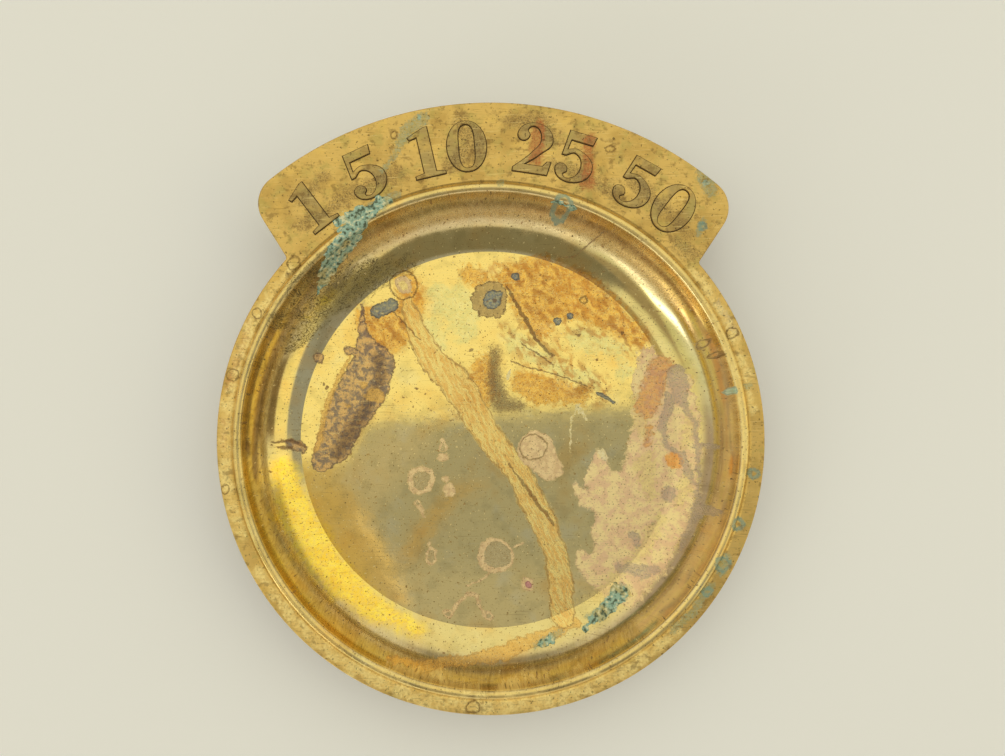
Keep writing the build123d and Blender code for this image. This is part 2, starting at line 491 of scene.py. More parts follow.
# Where each kind lies, in millimetres from the dish's axis, the lowest coat first
STAINS: dict[Tarnish, tuple[Spot, ...]] = {
    Tarnish.AMBER: streaks(
        [(-31, 30, 3.2), (-25, 27, 4.8), (-20, 33, 3), (-21, 39.5, 2.6)],
        [(-5.5, 41.2, 2.4), (-3, 40.6, 2.2)],
        [(-1.5, 18.5, 2.8), (-2.4, 12, 3.4), (-4.4, 8.4, 3.2)],
        [(4, 41, 2.6), (12, 40, 6), (20, 37, 6), (29, 32.5, 4), (37, 26, 2.5)],
        [(9, 35, 4.2), (12.5, 29.5, 3.6)], [(8.5, 14.5, 3), (12.5, 12.5, 3.2), (23, 11.2, 2.2)],
    ),
    Tarnish.CLEANED: streaks(
        [(-12, 35.5, 3.5), (-7, 33, 4), (-6, 27.5, 3)], [(-15.5, 29, 1.6), (-12.5, 24.5, 1.8)],
        [(22.5, 25.6, 3), (31.5, 23.2, 2.2)], [(6, 25, 2.4), (17, 18, 1.8), (26, 15.5, 1.8)],
        [(34, 18, 2.2)],
    ),
    Tarnish.VIVID: streaks(
        [(-51, -8, 3), (-48, -18, 4), (-43, -27, 4.2), (-36.5, -35.5, 3.6), (-27.5, -42.5, 2.6),
         (-17, -47.5, 1.4)], [(-44.6, 29.8, 0.8), (-39.6, 35.6, 0.8)],
    ),
    Tarnish.UMBER: streaks(
        [(-48, 29, 2.2), (-54, 16, 2.6), (-56.4, 2, 2.4), (-55.6, -12, 2.2), (-50, -26, 2.2),
         (-40, -39, 2.2), (-30, -48, 1.8)],
        [(-30, -48.5, 1.4), (-16, -54, 2), (0, -56.6, 2), (16, -54.6, 2), (34, -45.5, 2)],
    ),
    Tarnish.VEIN: streaks(
        [(2, 41, 3.6), (12, 38, 7), (24, 33, 7), (36, 25, 4)],
        [(6, 28, 3.6), (14, 20, 5), (26, 13, 4)], [(-31, 30, 3), (-25, 27, 5), (-20, 36, 3.6)],
        [(-4, 16, 3), (-6, 9, 3)],
    ),
    Tarnish.HAZE: streaks(
        [(-34, 44.6, 1), (-19, 52.6, 2), (0, 56, 2.4), (18, 53, 2.4), (34, 44.6, 2),
         (45, 33.4, 1)],
    ),
    Tarnish.SMEAR: streaks(
        [(-49, 22, 1.4), (-43, 31.5, 3), (-37.3, 36.6, 4), (-28.9, 41, 3.4), (-20, 43.8, 1.6)],
        [(-50, 27.5, 1.2), (-43.5, 37, 1.8), (-36, 44.2, 1.2)],
    ),
    Tarnish.PLUM: streaks(
        [(-46.8, -2.4, 1.4), (-50, -1.4, 1)],
        [(-32.3, 33.2, 0.4), (-31.9, 27, 1.2), (-31, 23.4, 2.8), (-29.2, 19, 5.4),
         (-31, 13.9, 6.2), (-34, 8.3, 5.8), (-36.6, 3.9, 5), (-39.2, -2.2, 4.4), (-42.2, -6, 2.4)],
        [(-33, 21.4, 0.8), (-35.4, 22.2, 1.3)], [(-42.8, 20, 1.4)],
    ),
    Tarnish.SCORCH: streaks(
        [(-27.5, 20.5, 1.6), (-27.5, 14.5, 1.6), (-31, 7, 1.8), (-35.5, 0, 2), (-38, -4, 1.6)],
        [(1.3, 21.6, 1.4), (1.2, 14.6, 1.9), (3.1, 9, 2.2), (7.5, 8.2, 1.2)],
    ),
    Tarnish.GRUNGE: streaks(
        [(-7.7, 74.7, 1.6), (-5, 68, 3), (-10.8, 62.8, 1.4)],
        [(3.4, 74.4, 1.6), (10.5, 74.4, 1.8), (14, 70, 1.4)],
        [(14, 64, 1.2), (20, 62, 1.6), (29, 57, 1.4)],
        [(38.7, 55, 1.6), (33, 60, 1.8), (45, 49, 1.2)], [(42.8, 46.4, 1.8), (47, 43.4, 1.2)],
        [(-22, 61.5, 1.6), (-33, 57, 1.8), (-45, 49, 1.2)], [(-44, 55, 1.2), (-39, 61, 1)],
        [(-61.5, -8, 0.8)], [(-4, -61.7, 1.2), (2, -61.8, 1)],
    ),
    Tarnish.COPPER: streaks(
        [(10.4, 72.8, 1.3), (9.5, 65.2, 1.6)], [(22.1, 70, 1.2), (21.6, 60, 1.8)],
        [(-56, 27, 0.7), (-60.6, 12, 0.8)], [(-61.4, 4, 0.7), (-61.6, -2, 0.6)],
    ),
    Tarnish.HONEY: streaks(
        [(-35.2, 20.6, 0.35), (-38.3, 13.8, 0.6), (-41.3, 6, 0.8), (-42.1, 0.6, 0.9),
         (-43.3, -3.4, 0.6)], [(-29.2, 10.9, 1.7), (-27.6, 10.4, 1.4)], [(-31.6, 13.6, 0.9)],
        [(-35.4, 8.4, 0.7)],
        [(-24, -52, 0.4), (-14, -54.6, 0.9), (-5.1, -54, 1), (4.7, -52.3, 1.8), (13.4, -48.6, 1.4),
         (22.3, -45.4, 1.1)],
    ),
    Tarnish.FIBRES: streaks(
        [(-20.8, 34, 1.6), (-18.5, 27, 2.7), (-15.2, 20.8, 3.3), (-9.4, 15.4, 4), (-6.6, 11.1, 4),
         (-3.1, 5.9, 3.4), (0.8, -0.3, 3.3), (7.1, -7.5, 3.2), (13.3, -19.2, 3.4),
         (16.6, -27.4, 3), (18.7, -36.2, 3.2), (19, -43.6, 3.2)],
    ),
    Tarnish.ROSE: streaks(
        [(39.5, 21.5, 2.2), (41, 15, 4.8), (42.5, 8, 6), (41.5, 0, 6), (41, -8, 7),
         (36.5, -14, 6.6), (33.5, -22, 7), (33, -30, 6.4), (31, -36, 4)],
        [(27.6, -4.6, 1.9), (27.7, -10.5, 3.2), (28.2, -16, 2.8)],
        [(22, -11, 0.5), (24, -14.2, 1.2), (26, -15.4, 1.2)], [(28, -33, 4), (24.2, -30, 2.2)],
        [(47, 14, 3), (49, 6, 3), (49.2, -3, 3), (48, -12, 3.2), (45.6, -20, 3.4), (41, -29, 3.4),
         (35, -37, 3)],
    ),
    Tarnish.STRAW: streaks(
        [(49.5, 8, 1.2), (50, 3, 1.5), (48.6, -1, 1)],
        [(49.6, -8, 1.2), (48.7, -11.9, 1.5), (47.6, -15.6, 1.2)],
        [(42.8, -19.5, 1.2), (41, -23, 1.6), (38.1, -28.4, 1.8)],
        [(40.5, -3.5, 1.2), (39.2, -6.5, 2.4), (40.5, -13, 1.6)],
        [(35, -31, 1.5), (30, -37.5, 1.6), (22.5, -41, 1)], [(37.6, 10.6, 2), (38.4, 3.5, 2.2)],
    ),
    Tarnish.RUST: streaks(
        [(42.8, 19, 2.6), (40.8, 13.5, 3), (39.4, 9, 3)], [(40, 3.5, 0.8), (39.4, -1, 0.8)],
    ),
    Tarnish.EMBER: streaks([(46.3, -4.9, 2.1)]),
    Tarnish.ASH: streaks(
        [(46.4, 17.5, 1.8), (47.4, 12.5, 2), (48.8, 8.6, 0.8), (51.2, 4.4, 0.5), (51.8, -1, 0.6),
         (52, -7, 0.5), (51.4, -13, 0.4), (51.6, -17, 1), (49.6, -20.4, 0.5), (46.6, -26, 0.3)],
        [(45, 11, 1.4), (43.4, 3.5, 1), (44.9, -1.6, 0.6), (48, -3.4, 0.8), (49.4, -7, 0.9),
         (50.6, -10.5, 0.5)], [(51.4, -1, 0.5), (54.6, -1, 0.6)],
        [(51.4, -17, 0.7), (53.6, -16.6, 1)], [(45.2, -13.4, 1.9)],
        [(33, -31.6, 1.2), (38, -32.4, 1.4), (41.6, -31.4, 1)],
        [(36.5, -23.6, 0.9), (38, -25.6, 0.7)], [(52.2, 32.8, 0.6), (56, 25.8, 0.7)],
    ),
    Tarnish.HALO: streaks([(-0.2, 35, 4.7)]),
    Tarnish.TAN: streaks(
        [(-21.8, 38.3, 2.1)], [(-16.9, -10.2, 3.6)], [(-9.7, -13, 1.75)], [(-10.8, -10.2, 0.9)],
        [(-11.5, -4.7, 1.35)], [(-11.6, -0.2, 0.3), (-11.6, -2, 1.15)],
        [(12, -2.3, 4.6), (15, -6.3, 3.6)], [(2.1, -29, 4.7)],
        [(7, -26.8, 0.3), (8.6, -25.9, 0.25)],
        [(1.1, -33.1, 0.35), (-1.2, -35.6, 0.3), (-4.6, -36.7, 0.25)],
        [(-8.5, -43, 0.5), (-6.9, -40.2, 0.5), (-4.8, -38.6, 0.55), (-2.3, -39.4, 0.5),
         (-0.9, -43.2, 0.45)], [(-9.8, -43.6, 1.3)], [(0.3, -44.2, 1.3)],
        [(-14, -28.4, 1.35), (-14, -30.1, 1.35)], [(-14.4, -26.4, 0.5)], [(10.1, -35.9, 1.7)],
        [(-17.3, -16.2, 0.9), (-15.7, -19.6, 0.35)],
    ),
    Tarnish.BARE: streaks(
        [(-21.8, 38.3, 1.1)], [(-16.9, -10.2, 2.3)], [(2.6, -28.8, 3.5)],
        [(-11.6, -1.4, 0.3), (-11.6, -2.2, 0.6)], [(-14, -28.6, 0.85), (-14, -30, 0.85)],
        [(-17.3, -16.2, 0.5)], [(-9.8, -43.6, 0.6)], [(0.3, -44.2, 0.6)], [(34.8, -37.4, 0.9)],
    ),
    # Painted highlights along the front and sides of the rim and on the bead's crest
    Tarnish.PAINTED_HIGHLIGHT: streaks(
        [(43.6, -43.6, 1), (30.9, -53.4, 1.6), (16, -59.6, 1.8), (0, -61.7, 1.8),
         (-16, -59.6, 1.8), (-30.9, -53.4, 1.6), (-43.6, -43.6, 1.4), (-53.4, -30.9, 1)],
        [(-47, 39.5, 0.9), (-56, 25.5, 1.3), (-61, 8, 1.3), (-61.2, -8, 1.3), (-57.5, -22.5, 1.2)],
        [(47, 39.5, 0.8), (56, 25.5, 1.1), (60.8, 8, 0.9)],
        [(57.8, -10.6, 0.2), (58.8, 0, 0.5), (56.8, 15.2, 0.5), (51, 29.4, 0.2)],
        [(-26, -52.8, 0.2), (0, -58.8, 0.5), (26, -52.8, 0.2)],
    ),
    Tarnish.RINGLET: streaks(
        [(-54.2, 29.1, 1.3)], [(-60, 14.7, 1.5)], [(-46, 40.5, 1.5)], [(-61.2, -11.5, 1)],
        [(-3.4, -61.6, 1.5)], [(55.5, 25.4, 1.3)], [(53.5, 20.6, 0.7)], [(51, 23.6, 1)],
        [(23.6, 35.4, 0.9)], [(-23, 70.5, 0.9)], [(27, 68, 0.9)], [(-21.8, 38.3, 3.4)],
        [(11.2, -1.9, 3.1)],
    ),
    Tarnish.PINK: streaks([(10.1, -35.9, 0.9)]),
    Tarnish.CHALK: streaks(
        [(22.8, 9, 0.15), (20.9, 5.5, 0.22), (20.3, 1, 0.2), (20.8, -3, 0.1)],
        [(22.2, 8.2, 0.5), (24.6, 5, 0.3)], [(28, -2.6, 0.6), (29, -4.8, 0.5)],
        [(5, 17.8, 0.2), (4.4, 15.4, 0.4)],
    ),
    Tarnish.SLATE: streaks(
        [(0.2, 35.1, 2.4)], [(2.2, 36, 1.2)], [(-28.2, 31.8, 1.8), (-25.2, 33.1, 2)],
        [(17.1, 29.9, 1)], [(20.1, 31.2, 0.8)], [(6, 40.9, 0.9)],
        [(27.2, 12.4, 0.5), (31.2, 9.9, 0.5)],
    ),
    Tarnish.VERDIGRIS: streaks(
        [(25, -44.2, 0.6), (29.3, -41.4, 1.3), (34, -36.8, 1.5)],
        [(11.9, -50.6, 0.5), (15, -48.8, 0.8), (18.2, -47.1, 0.6)],
        [(50.3, 58.7, 1.4), (48.1, 62.6, 1.2)], [(48.6, 51.6, 0.7), (47.6, 48.6, 0.7)],
        [(-16.6, 74.4, 1.4), (-20, 71.8, 1.5), (-22.7, 65.9, 0.5), (-26, 62, 0.7)],
        [(-33, 50, 2), (-26, 54.5, 1.6), (-22, 57, 0.6)], [(1.7, 60, 0.8)],
        [(54.8, -26, 1), (53.4, -29.4, 1.1)],
        [(51.2, -33, 1), (48.2, -37.6, 1), (42.6, -43.6, 0.7)], [(59.3, 13.5, 0.9)],
    ),
    Tarnish.SEEPAGE: streaks(
        [(16.1, 55, 1.7)], [(60.9, -6.9, 1.1)], [(57.6, -18.7, 1.3)], [(54, -27.6, 1.5)],
        [(50.3, -34.4, 1)], [(48.3, 50.3, 0.7)],
    ),
    Tarnish.BLOOM: streaks([(56.1, 12.4, 0.9)], [(-17.6, 74.6, 0.5)], [(49.2, 60.6, 0.6)]),
    Tarnish.CRACK: streaks(
        [(4.1, 38.3, 0.3), (8.3, 31, 0.55), (11.6, 25.5, 0.45), (15.2, 21.2, 0.3)],
        [(7.8, 24.6, 0.16), (15.8, 18.9, 0.16)], [(5.3, 20, 0.14), (24.4, 13.7, 0.14)],
        [(-53.4, -1, 0.25), (-49.6, -0.6, 0.5), (-46, -2.2, 0.35)],
        [(-52.4, -2.4, 0.3), (-49.6, -2.2, 0.4)],
        [(26.6, 50.6, 0.14), (21.4, 46.2, 0.2), (16, 45.6, 0.14)],
        [(4.9, -5.9, 0.25), (10.3, -12.9, 0.5), (14.2, -17.8, 0.6), (16.4, -21.5, 0.3)],
        [(-24.5, 31.5, 0.15), (-17.5, 25, 0.2)], [(22.5, 26.2, 0.45)], [(33, 27, 0.45)],
        [(26.8, 20.2, 0.35)], [(-4.8, 22.7, 0.5)], [(-18.1, 12.9, 0.45)], [(-41.9, 13.1, 0.45)],
        [(-40.9, 12.1, 0.5)], [(0.8, 34.8, 0.6)],
    ),
}


class Part(Enum):
    """The parts of the casting that wear in their own way."""

    WELL = "well"
    LAND = "land"


@dataclass(frozen=True)
class Wear:
    """Clouds, specks or scratches that a noise spreads over a part of the casting.

    Lengths are in millimetres. The noise's levels at which the wear starts and is full
    say how much of the part it takes.
    """

    colour: str
    metallic: float
    roughness: float
    part: Part
    size: float
    start: float
    full: float
    cover: float
    detail: float = 3.0
    lie: float = 0.0              # direction that it is drawn out in, in degrees
    stretch: float = 1.0          # how far it is drawn out

    def lay(self, canvas: Canvas, below: Coat, place: Socket, share: Socket) -> Coat:
        """Lays the wear on a coat.

        Args:
            canvas: The tree that gets the nodes.
            below: The coat that it marks.
            place: The place on the tray.
            share: How far that place belongs to the part that wears.

        Returns:
            The two together.
        """
        pattern = canvas.add(
            "Mapping", {
                "Vector": place, "Rotation": (0, 0, radians(self.lie)),
                "Scale": (self.size * self.stretch, self.size, self.size),
            }, vector_type="TEXTURE",
        )
        grain = canvas.add(
            "TexNoise", {"Vector": pattern, "Scale": 1.0, "Detail": self.detail, "Roughness": 0.6},
        )
        amount = canvas.add("MapRange", [grain, self.start, self.full, 0.0, self.cover], **SMOOTH)
        amount = canvas.add("Math", [amount, share], operation="MULTIPLY")
        top = Coat(linear(self.colour), self.metallic, self.roughness)
        return below.covered(canvas, top, amount)


# Slow changes of the bare metal, which lie under the stains
TONING = (
    Wear("#e6ab44", 1.0, 0.1, Part.WELL, 14.0, 0.5, 0.72, 0.4),
    Wear("#e8dca4", 1.0, 0.08, Part.WELL, 9.0, 0.52, 0.7, 0.35),
    Wear("#8f8656", 1.0, 0.12, Part.WELL, 5.0, 0.48, 0.64, 0.2, 5.0),
    Wear("#b08c48", 0.8, 0.45, Part.LAND, 9.0, 0.45, 0.65, 0.5, 4.0),
    Wear("#b8a860", 0.75, 0.5, Part.LAND, 4.0, 0.5, 0.66, 0.5, 5.0),
    Wear("#e2bc68", 0.95, 0.36, Part.LAND, 6.0, 0.5, 0.68, 0.5, 4.0),
)

# What years of use have left on everything
WEAR = (
    Wear("#7a5c2e", 0.5, 0.55, Part.LAND, 2.2, 0.54, 0.66, 0.5, 5.0),
    Wear("#4c3a1e", 0.4, 0.6, Part.LAND, 0.7, 0.62, 0.7, 0.7, 2.0),
    Wear("#f0d896", 1.0, 0.35, Part.LAND, 0.3, 0.6, 0.7, 0.4, 2.0, 4.0, 24.0),
    Wear("#705428", 0.7, 0.5, Part.LAND, 0.35, 0.6, 0.7, 0.35, 2.0, -3.0, 16.0),
    Wear("#e8d494", 1.0, 0.2, Part.WELL, 0.3, 0.62, 0.72, 0.4, 2.0, 2.0, 30.0),
    Wear("#7c6434", 0.8, 0.25, Part.WELL, 0.28, 0.63, 0.72, 0.35, 2.0, 0.5, 40.0),
    Wear("#8a6a34", 0.8, 0.3, Part.WELL, 0.28, 0.66, 0.74, 0.3, 2.0, -38.0, 26.0),
    Wear("#5c4424", 0.4, 0.5, Part.WELL, 0.5, 0.66, 0.72, 0.8, 1.0),
    Wear("#e6d09a", 0.3, 0.45, Part.WELL, 0.7, 0.68, 0.75, 0.65, 1.0),
    Wear("#7a4e24", 0.5, 0.4, Part.WELL, 1.1, 0.66, 0.7, 0.6, 2.0),
)


class CastBrass(Finish):
    """Yellow brass, sand cast, then turned and polished inside and satin on the rim.

    The well mirrors the room a little softly, the rim and the tab scatter it, and years
    of handling, coins and damp have left stains of many colours. Painted highlights lie
    along the rim and the bead, and the steep upper wall is painted paler as a painted
    reflection. Lengths are in millimetres.
    """

    name = "cast_brass"
    floor_radius = 47.14
    # Painted reflection: from here up, the wall is painted paler, brighter than the wall across
    # that it mirrors
    steep_radius = 54.0           # where the wall starts to mirror the wall across
    wall_top = 57.8
    bead_root = 60.0
    land_height = 17.55
    figure_face = 17.85
    under_height = 3.4
    edge_softness = 0.1           # half the width in which one part runs into the next
    steep_softness = 1.5
    bead_softness = 0.5
    root_softness = 0.3
    drifts = ((0.16, 2.4), (0.8, 1.2))    # scale and reach of what bends the stains' edges
    polish_relief = 0.0012
    cast_relief = 0.03
    wave_relief = 0.01
    downward_tilts = (-0.03, -0.08)       # of a face's normal, where the dull outside starts

    def zones(self, canvas: Canvas, height: Socket, radius: Socket, land: Socket) -> Coat:
        """Paints the bare brass of each part of the casting, and paints the steep upper wall paler
        as a painted reflection.

        Args:
            canvas: The tree that gets the nodes.
            height: The place's height on the tray.
            radius: Its distance from the dish's axis.
            land: How far it belongs to the rim and the tab.

        Returns:
            The bare brass.
        """
        coat = Coat(linear("#f0d483"), 1.0, 0.065)
        raised = canvas.add(
            "MapRange", [height, self.figure_face - self.edge_softness, self.figure_face, 0.0, 1.0]
        )
        figures = canvas.add("Math", [raised, land], operation="MULTIPLY")
        wall, steep, bead = (
            canvas.add("MapRange", [radius, edge - soft, edge + soft, 0.0, 1.0])
            for edge, soft in (
                (self.floor_radius, self.edge_softness),
                (self.steep_radius, self.steep_softness), (self.wall_top, self.bead_softness),
            )
        )
        for share, colour, metallic, roughness in (
            (wall, "#dcc88a", 1.0, 0.11),
            # Painted reflection: the steep upper wall is painted paler and greyer than the wall
            # below it
            (steep, "#dfd3b2", 1.0, 0.14),
            (bead, "#e8cc84", 1.0, 0.34),
            (land, "#dab76c", 0.85, 0.45),
            (figures, "#b39a62", 0.75, 0.45),
        ):
            coat = coat.covered(canvas, Coat(linear(colour), metallic, roughness), share)
        return coat

    def paint(self, canvas: Canvas) -> dict[str, Any]:
        """Gives the inputs of the shader.

        Args:
            canvas: The tree that gets the nodes.

        Returns:
            Sockets and constants, by the input's name.
        """
        metres = canvas.add("TexCoord", output="Object")
        place = canvas.add("VectorMath", {0: metres, "Scale": PER_MM}, operation="SCALE")
        flat = canvas.add("VectorMath", [place, (1, 1, 0)], operation="MULTIPLY")
        radius = canvas.add("VectorMath", [flat], "Value", operation="LENGTH")
        height = canvas.add("SeparateXYZ", [place], "Z")
        inner, outer = self.bead_root - self.root_softness, self.bead_root + self.root_softness
        land = canvas.add("MapRange", [radius, inner, outer, 0.0, 1.0])
        well = canvas.add("Math", [1.0, land], operation="SUBTRACT")
        shares = {Part.LAND: land, Part.WELL: well}
        coat = self.zones(canvas, height, radius, land)
        # Without a height, the patterns would run down the rim's edge as stripes
        above = canvas.add("Math", [height, self.land_height], operation="SUBTRACT")
        lift = canvas.add(
            "CombineXYZ", {"Z": canvas.add("Math", [above, land], operation="MULTIPLY")}
        )
        spread = canvas.add("VectorMath", [flat, lift], operation="ADD")
        for wear in TONING:
            coat = wear.lay(canvas, coat, spread, shares[wear.part])
        point = spread
        for scale, reach in self.drifts:
            drift = canvas.add(
                "TexNoise", {"Vector": spread, "Scale": scale, "Detail": 4.0}, "Color"
            )
            centred = canvas.add("VectorMath", [drift, (0.5, 0.5, 0.5)], operation="SUBTRACT")
            point = canvas.add(
                "VectorMath", [centred, (reach, reach, 0), point], operation="MULTIPLY_ADD"
            )
        for kind, spots in STAINS.items():
            distance = spot_field(canvas, point, spots, kind.value.melt)
            coat = kind.value.lay(canvas, coat, point, distance)
        for wear in WEAR:
            coat = wear.lay(canvas, coat, spread, shares[wear.part])
        coat = self.underside(canvas, coat, height, radius)
        cast_skin = canvas.add(
            "TexNoise", {"Vector": place, "Scale": 1.4, "Detail": 4.0, "Roughness": 0.6}
        )
        polish = canvas.add("TexNoise", {"Vector": place, "Scale": 0.25, "Detail": 2.0})
        rough = canvas.add("MapRange", [land, 0.0, 1.0, self.polish_relief, self.cast_relief])
        skin = canvas.add("Math", [cast_skin, rough], operation="MULTIPLY")
        relief = canvas.add("Math", [polish, self.wave_relief, skin], operation="MULTIPLY_ADD")
        normal = canvas.add("Bump", {"Height": relief, "Distance": MM})
        return {
            "Base Color": coat.colour, "Metallic": coat.metallic,
            "Roughness": coat.roughness, "Normal": normal,
        }

    def underside(self, canvas: Canvas, coat: Coat, height: Socket, radius: Socket) -> Coat:
        """Paints the dull outside of the dish, with the rings that the lathe left.

        Args:
            canvas: The tree that gets the nodes.
            coat: What the upper side has.
            height: The place's height on the tray.
            radius: Its distance from the dish's axis.

        Returns:
            The two together.
        """
        facing = canvas.add("SeparateXYZ", [canvas.add("NewGeometry", output="Normal")], "Z")
        downwards = canvas.add("MapRange", [facing, *self.downward_tilts, 0.0, 1.0])
        low = canvas.add(
            "MapRange",
            [height, self.under_height, self.under_height - self.edge_softness, 0.0, 1.0],
        )
        hidden = canvas.add("Math", [downwards, low], operation="MAXIMUM")
        rings = canvas.add(
            "TexNoise", {"W": radius, "Scale": 1.6, "Detail": 3.0}, noise_dimensions="1D",
        )
        shade = canvas.add(
            "Mix", {COLOUR_FACTOR: rings, COLOUR_A: linear("#7c6434"),
                    COLOUR_B: linear("#b4924e")},
            **COLOUR_MIX,
        )
        return coat.covered(canvas, Coat(shade, 0.8, 0.5), hidden)


class OldPolish(Finish):
    """Dried polish and dirt that cloths leave at the foot of raised figures."""

    name = "old_polish"

    def paint(self, canvas: Canvas) -> dict[str, Any]:
        """Gives the inputs of the shader."""
        return {"Base Color": linear("#4f3d1c"), "Roughness": 0.75}


class CopperSalts(Finish):
    """Verdigris: a crumbly green crust, pale and blue where it is newest."""

    name = "copper_salts"
    crumb_scale = 1.1 * PER_MM
    patch_scale = 0.3 * PER_MM
    relief = 0.25 * MM

    def paint(self, canvas: Canvas) -> dict[str, Any]:
        """Gives the inputs of the shader.

        Args:
            canvas: The tree that gets the nodes.

        Returns:
            Sockets and constants, by the input's name.
        """
        place = canvas.add("TexCoord", output="Object")
        crumbs = canvas.add(
            "TexNoise", {"Vector": place, "Scale": self.crumb_scale, "Detail": 5.0}
        )
        patches = canvas.add(
            "TexNoise", {"Vector": place, "Scale": self.patch_scale, "Detail": 3.0}
        )
        colour = linear("#bdb482")
        for pattern, start, full, low, high, tint in (
            (patches, 0.36, 0.52, 0.0, 1.0, "#9cbcae"),     # new growth
            (crumbs, 0.36, 0.5, 1.0, 0.0, "#566452"),       # hollows
            (crumbs, 0.54, 0.64, 0.0, 0.85, "#e8e2bc"),     # tips
        ):
            share = canvas.add("MapRange", [pattern, start, full, low, high], **SMOOTH)
            colour = canvas.add(
                "Mix", {COLOUR_FACTOR: share, COLOUR_A: colour, COLOUR_B: linear(tint)},
                **COLOUR_MIX,
            )
        relief = canvas.add("Bump", {"Height": crumbs, "Distance": self.relief, "Strength": 0.5})
        return {"Base Color": colour, "Roughness": 0.85, "Normal": relief}


class PressedFelt(Finish):
    """Bottle-green wool felt: matt fibres in every direction, with a faint sheen."""

    name = "pressed_felt"
    fibre_scale = 2.2 * PER_MM
    clump_scale = 0.12 * PER_MM
    worn_levels = (0.35, 0.7)     # of the clumps' noise
    most_worn = 0.6
    relief = 0.2 * MM

    def paint(self, canvas: Canvas) -> dict[str, Any]:
        """Gives the inputs of the shader.

        Args:
            canvas: The tree that gets the nodes.

        Returns:
            Sockets and constants, by the input's name.
        """
        place = canvas.add("TexCoord", output="Object")
        fibres = canvas.add(
            "TexNoise", {"Vector": place, "Scale": self.fibre_scale, "Detail": 6.0,
                         "Roughness": 0.7, "Distortion": 1.5},
        )
        clumps = canvas.add(
            "TexNoise", {"Vector": place, "Scale": self.clump_scale, "Detail": 4.0}
        )
        worn = canvas.add("MapRange", [clumps, *self.worn_levels, 0.0, self.most_worn])
        colour = linear("#16301f")
        for share, other in ((fibres, "#3f6a4c"), (worn, "#2f4a38")):
            colour = canvas.add(
                "Mix", {COLOUR_FACTOR: share, COLOUR_A: colour, COLOUR_B: linear(other)},
                **COLOUR_MIX,
            )
        relief = canvas.add("Bump", {"Height": fibres, "Distance": self.relief, "Strength": 0.7})
        return {
            "Base Color": colour, "Roughness": 0.95, "Normal": relief,
            "Sheen Weight": 0.35, "Sheen Roughness": 0.5,
        }


class DriedAdhesive(Finish):
    """Contact adhesive that has dried brown, brushed on and a little glossy."""

    name = "dried_adhesive"
    stroke_scale = (0.15 * PER_MM, 1.2 * PER_MM, PER_MM)
    relief = 0.1 * MM

    def paint(self, canvas: Canvas) -> dict[str, Any]:
        """Gives the inputs of the shader.

        Args:
            canvas: The tree that gets the nodes.

        Returns:
            Sockets and constants, by the input's name.
        """
        place = canvas.add("TexCoord", output="Object")
        strokes = canvas.add("Mapping", {"Vector": place, "Scale": self.stroke_scale})
        brushed = canvas.add("TexNoise", {"Vector": strokes, "Scale": 1.0, "Detail": 4.0})
        colour = canvas.add(
            "Mix", {COLOUR_FACTOR: brushed, COLOUR_A: linear("#6e4f24"),
                    COLOUR_B: linear("#b8935a")},
            **COLOUR_MIX,
        )
        relief = canvas.add("Bump", {"Height": brushed, "Distance": self.relief, "Strength": 0.6})
        return {"Base Color": colour, "Roughness": 0.45, "Normal": relief}


class Pen:
    """A line of mesh vertices that a pen leaves, in straight runs and arcs."""

    def __init__(self, mesh: bmesh.types.BMesh, start: Vector, axis: Vector) -> None:
        """Puts the pen down.

        Args:
            mesh: The mesh that gets the line.
            start: The first point.
            axis: The direction that the arcs turn about.
        """
        self.mesh = mesh
        self.axis = axis
        self.tip = bmesh.ops.create_vert(mesh, co=start)["vert"][0]

    def line(self, end: Vector, steps: int = 1) -> None:
        """Draws a straight run.

        Args:
            end: The point that it runs to.
            steps: How many equal steps it has.
        """
        start = self.tip.co.copy()
        for step in range(1, steps + 1):
            made = bmesh.ops.extrude_vert_indiv(self.mesh, verts=[self.tip])
            self.tip = made["verts"][0]
            self.tip.co = start.lerp(end, step / steps)

    def arc(self, centre: Vector, end: Vector, step: float = ARC_STEP) -> None:
        """Draws an arc of less than half a turn.

        Args:
            centre: The arc's centre.
            end: A point in the direction, from the centre, where the arc ends.
            step: The most that it turns from one vertex to the next.
        """
        here, there = self.tip.co - centre, end - centre
        angle = atan2(self.axis.dot(here.cross(there)), here.dot(there))
        made = bmesh.ops.spin(
            self.mesh, geom=[self.tip], cent=centre, axis=self.axis, dvec=(0, 0, 0),
            angle=angle, steps=max(1, ceil(abs(angle) / step)), use_duplicate=False,
        )
        self.tip = made["geom_last"][0]


def stored(name: str, mesh: bmesh.types.BMesh) -> bpy.types.Mesh:
    """Stores a mesh in Blender.

    Args:
        name: The name that it gets.
        mesh: The mesh, which is used up.

    Returns:
        The stored mesh.
    """
    data = bpy.data.meshes.new(name)
    mesh.to_mesh(data)
    mesh.free()
    return data


def absorb(mesh: bmesh.types.BMesh, data: bpy.types.Mesh) -> None:
    """Moves a stored mesh into another mesh."""
    mesh.from_mesh(data)
    bpy.data.meshes.remove(data)


def turn_section(mesh: bmesh.types.BMesh, steps: int) -> None:
    """Turns the section in a mesh all the way round the dish's axis, in equal steps."""
    bmesh.ops.spin(
        mesh, geom=mesh.verts[:] + mesh.edges[:], cent=(0, 0, 0), axis=UP,
        dvec=(0, 0, 0), angle=FULL_TURN, steps=steps, use_merge=True,
    )
    bmesh.ops.remove_doubles(mesh, verts=mesh.verts[:], dist=TOUCHING)


